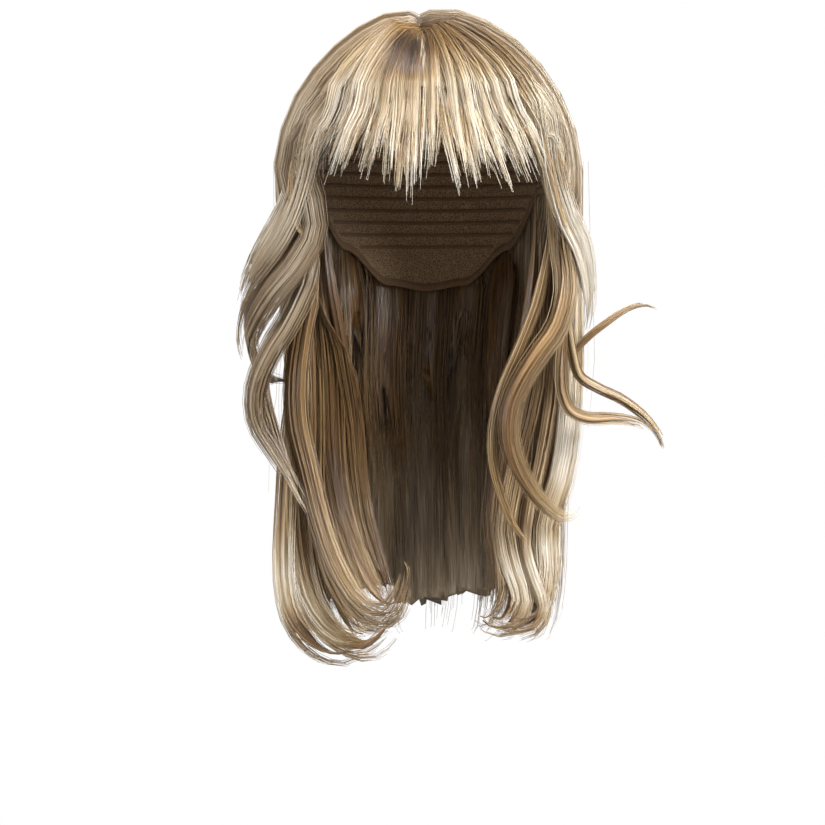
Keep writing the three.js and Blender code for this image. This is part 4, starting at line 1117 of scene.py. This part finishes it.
def weftTree():  # flat tapes round the inside of the cap, sewn on with short stitches
    tree, add, _, _, given = newTree("wefts", {
        "Geometry": ["Geometry"],
        "Float": [
            "Tape height", "Tape thickness", "Stitch spacing", "Stitch length", "Stitch width", "Stitch lean",
        ],
        "Material": ["Material"],
    })
    rows = add("GeometryNodeMeshToCurve", {"Mesh": given["Geometry"]}).outputs[0]
    rows = add("GeometryNodeSetCurveNormal", {"Curve": rows}, mode="Z_UP").outputs[0]
    section = add("GeometryNodeCurvePrimitiveQuadrilateral", {
        "Width": given["Tape thickness"], "Height": given["Tape height"]}).outputs[0]
    tapes = add("GeometryNodeCurveToMesh", {"Curve": rows, "Profile Curve": section, "Fill Caps": True})
    apart = given["Stitch spacing"]
    spots = add("GeometryNodeCurveToPoints", {"Curve": rows, "Length": apart}, mode="LENGTH")
    size = add("ShaderNodeCombineXYZ", {
        0: given["Stitch width"], 1: given["Stitch width"], 2: given["Stitch length"]}).outputs[0]
    stitch = add("GeometryNodeMeshCube", {"Size": size}).outputs["Mesh"]
    lean = add("ShaderNodeCombineXYZ", {0: given["Stitch lean"]}).outputs[0]
    turned = add("FunctionNodeRotateRotation", {0: spots.outputs["Rotation"]}, rotation_space="LOCAL")
    tree.links.new(lean, turned.inputs[1])
    stitches = add("GeometryNodeInstanceOnPoints", {
        "Points": spots.outputs[0], "Instance": stitch, "Rotation": turned.outputs[0]}).outputs[0]
    joined = add("GeometryNodeJoinGeometry")
    tree.links.new(tapes.outputs[0], joined.inputs[0])
    tree.links.new(stitches, joined.inputs[0])
    endTree(add, joined.outputs[0], given["Material"])
    return tree


weftStyle = {
    "rows": 15, "first": 0.42, "apart": 7.5 * mm, "columns": 96, "margin": 0.06, "lift": 0.05 * mm,
    "Tape height": 2.2 * mm, "Tape thickness": 0.4 * mm, "Stitch spacing": 4.2 * mm,
    "Stitch length": 2.0 * mm, "Stitch width": 0.45 * mm, "Stitch lean": 0.6, "Material": bandLook,
}


def weftRuns(style):  # the stretches of each row that lie inside the cap's edge
    runs = []
    for row in range(style["rows"]):
        depth = rise * (1 - math.cos(style["first"] * math.pi / 2)) + row * style["apart"]
        fall = 2 / math.pi * math.acos(1 - depth / rise) if depth < rise else depth / rise
        if depth > rise * max(edge for _, edge in capEdge):
            break
        runs.append([])
        for c in range(style["columns"] + 1):
            turn = 360 * c / style["columns"]
            if fall < lookUp(capEdge, fromFront(turn)) - style["margin"]:
                runs[-1].append(domePoint(turn, fall, style["lift"]))
            else:
                runs.append([])
    return [run for run in runs if len(run) > 2]


def capWefts(style):
    runs = weftRuns(style)
    mesh = bpy.data.meshes.new("cap_wefts")
    mesh.from_pydata(sum(runs, []), chained(len(run) for run in runs), [])
    finishPiece(grown("cap_wefts", mesh, weftTree(), style), "cap", "cap_net")


bandStyle = {
    "height": 6 * mm,
    "columns": 180,
    "below": 0.015,  # how far it reaches past the cap's edge, as a fall
    # up the band, and out in mm
    "section": [(0.1, -0.35), (0.1, 1.5), (0.5, 1.75), (0.9, 1.5), (0.9, -0.35), (0.5, -0.6)],
}


def capBand(style):
    verts, faces = [], []
    columns, count, height = style["columns"], len(style["section"]), style["height"] / rise
    for c in range(columns):
        turn = 360 * c / columns
        edge = lookUp(capEdge, fromFront(turn)) + style["below"]
        verts += [domePoint(turn, edge - up * height, out * mm) for up, out in style["section"]]
        for k in range(count):
            a, b, n = c * count, (c + 1) % columns * count, (k + 1) % count
            faces.append((a + k, a + n, b + n, b + k))
    capMesh("cap_band", verts, faces, bandLook)


capWefts(weftStyle)
capBand(bandStyle)
print("cap", sum(counts.values()))

# The studio, which isn't part of the wig


def turnTo(made, at, aim):
    made.location = at
    made.rotation_euler = (Vector(aim) - Vector(at)).to_track_quat("-Z", "Y").to_euler()


def areaLight(name, at, aim, size, power):
    data = bpy.data.lights.new(name, "AREA")
    data.shape = "RECTANGLE"
    data.size, data.size_y = size
    data.energy = power
    made = bpy.data.objects.new(name, data)
    turnTo(made, at, aim)
    scene.collection.objects.link(made)


lights = {
    "key": {"at": (0.95, -1.15, 0.55), "aim": (0, 0, -0.15), "size": (0.6, 0.8), "power": 40},
    "fill": {"at": (-1.2, -0.8, 0.0), "aim": (0, 0, -0.2), "size": (0.5, 1.1), "power": 13},
    "top": {"at": (0.1, -0.3, 1.0), "aim": (0, 0, -0.05), "size": (0.5, 0.4), "power": 11},
}
for name, light in lights.items():
    areaLight(name, **light)

world = bpy.data.worlds.new("studio")
world.use_nodes = True
scene.world = world
world.node_tree.nodes.clear()
add = nodeMaker(world.node_tree)[0]
white = add("ShaderNodeBackground", {"Color": (1, 1, 1, 1), "Strength": 1.0})
ambient = add("ShaderNodeBackground", {"Color": (1, 0.99, 0.97, 1), "Strength": 0.4})
seen = add("ShaderNodeLightPath").outputs["Is Camera Ray"]
mixed = add("ShaderNodeMixShader", {0: seen, 1: ambient.outputs[0], 2: white.outputs[0]})
add("ShaderNodeOutputWorld", {"Surface": mixed.outputs[0]})

floorHalf, floorLevel = 20, -0.47
floorMesh = bpy.data.meshes.new("floor")
corners = [(x * floorHalf, y * floorHalf, floorLevel) for x, y in ((-1, -1), (1, -1), (1, 1), (-1, 1))]
floorMesh.from_pydata(corners, [], [(0, 1, 2, 3)])
pale, add, _ = newMaterial("pale floor")
glow = add("ShaderNodeEmission", {"Color": (1, 1, 1, 1), "Strength": 1.0})
add("ShaderNodeOutputMaterial", {"Surface": glow.outputs[0]})
floorMesh.materials.append(pale)
floor = bpy.data.objects.new("floor", floorMesh)
floor.visible_diffuse = False
floor.visible_glossy = False
floor.visible_shadow = False
scene.collection.objects.link(floor)

cameraView = {"lens": 118.3, "sensor": 36, "at": (-0.0086, -1.6, -0.152), "aim": (-0.0086, 0, -0.222)}
cameraData = bpy.data.cameras.new("camera")
cameraData.lens = cameraView["lens"]
cameraData.sensor_width = cameraView["sensor"]
camera = bpy.data.objects.new("camera", cameraData)
turnTo(camera, cameraView["at"], cameraView["aim"])
scene.collection.objects.link(camera)
scene.camera = camera
scene.view_settings.view_transform = "Standard"

print("triangles", sum(counts.values()), "most", max(counts.items(), key=lambda item: item[1]))
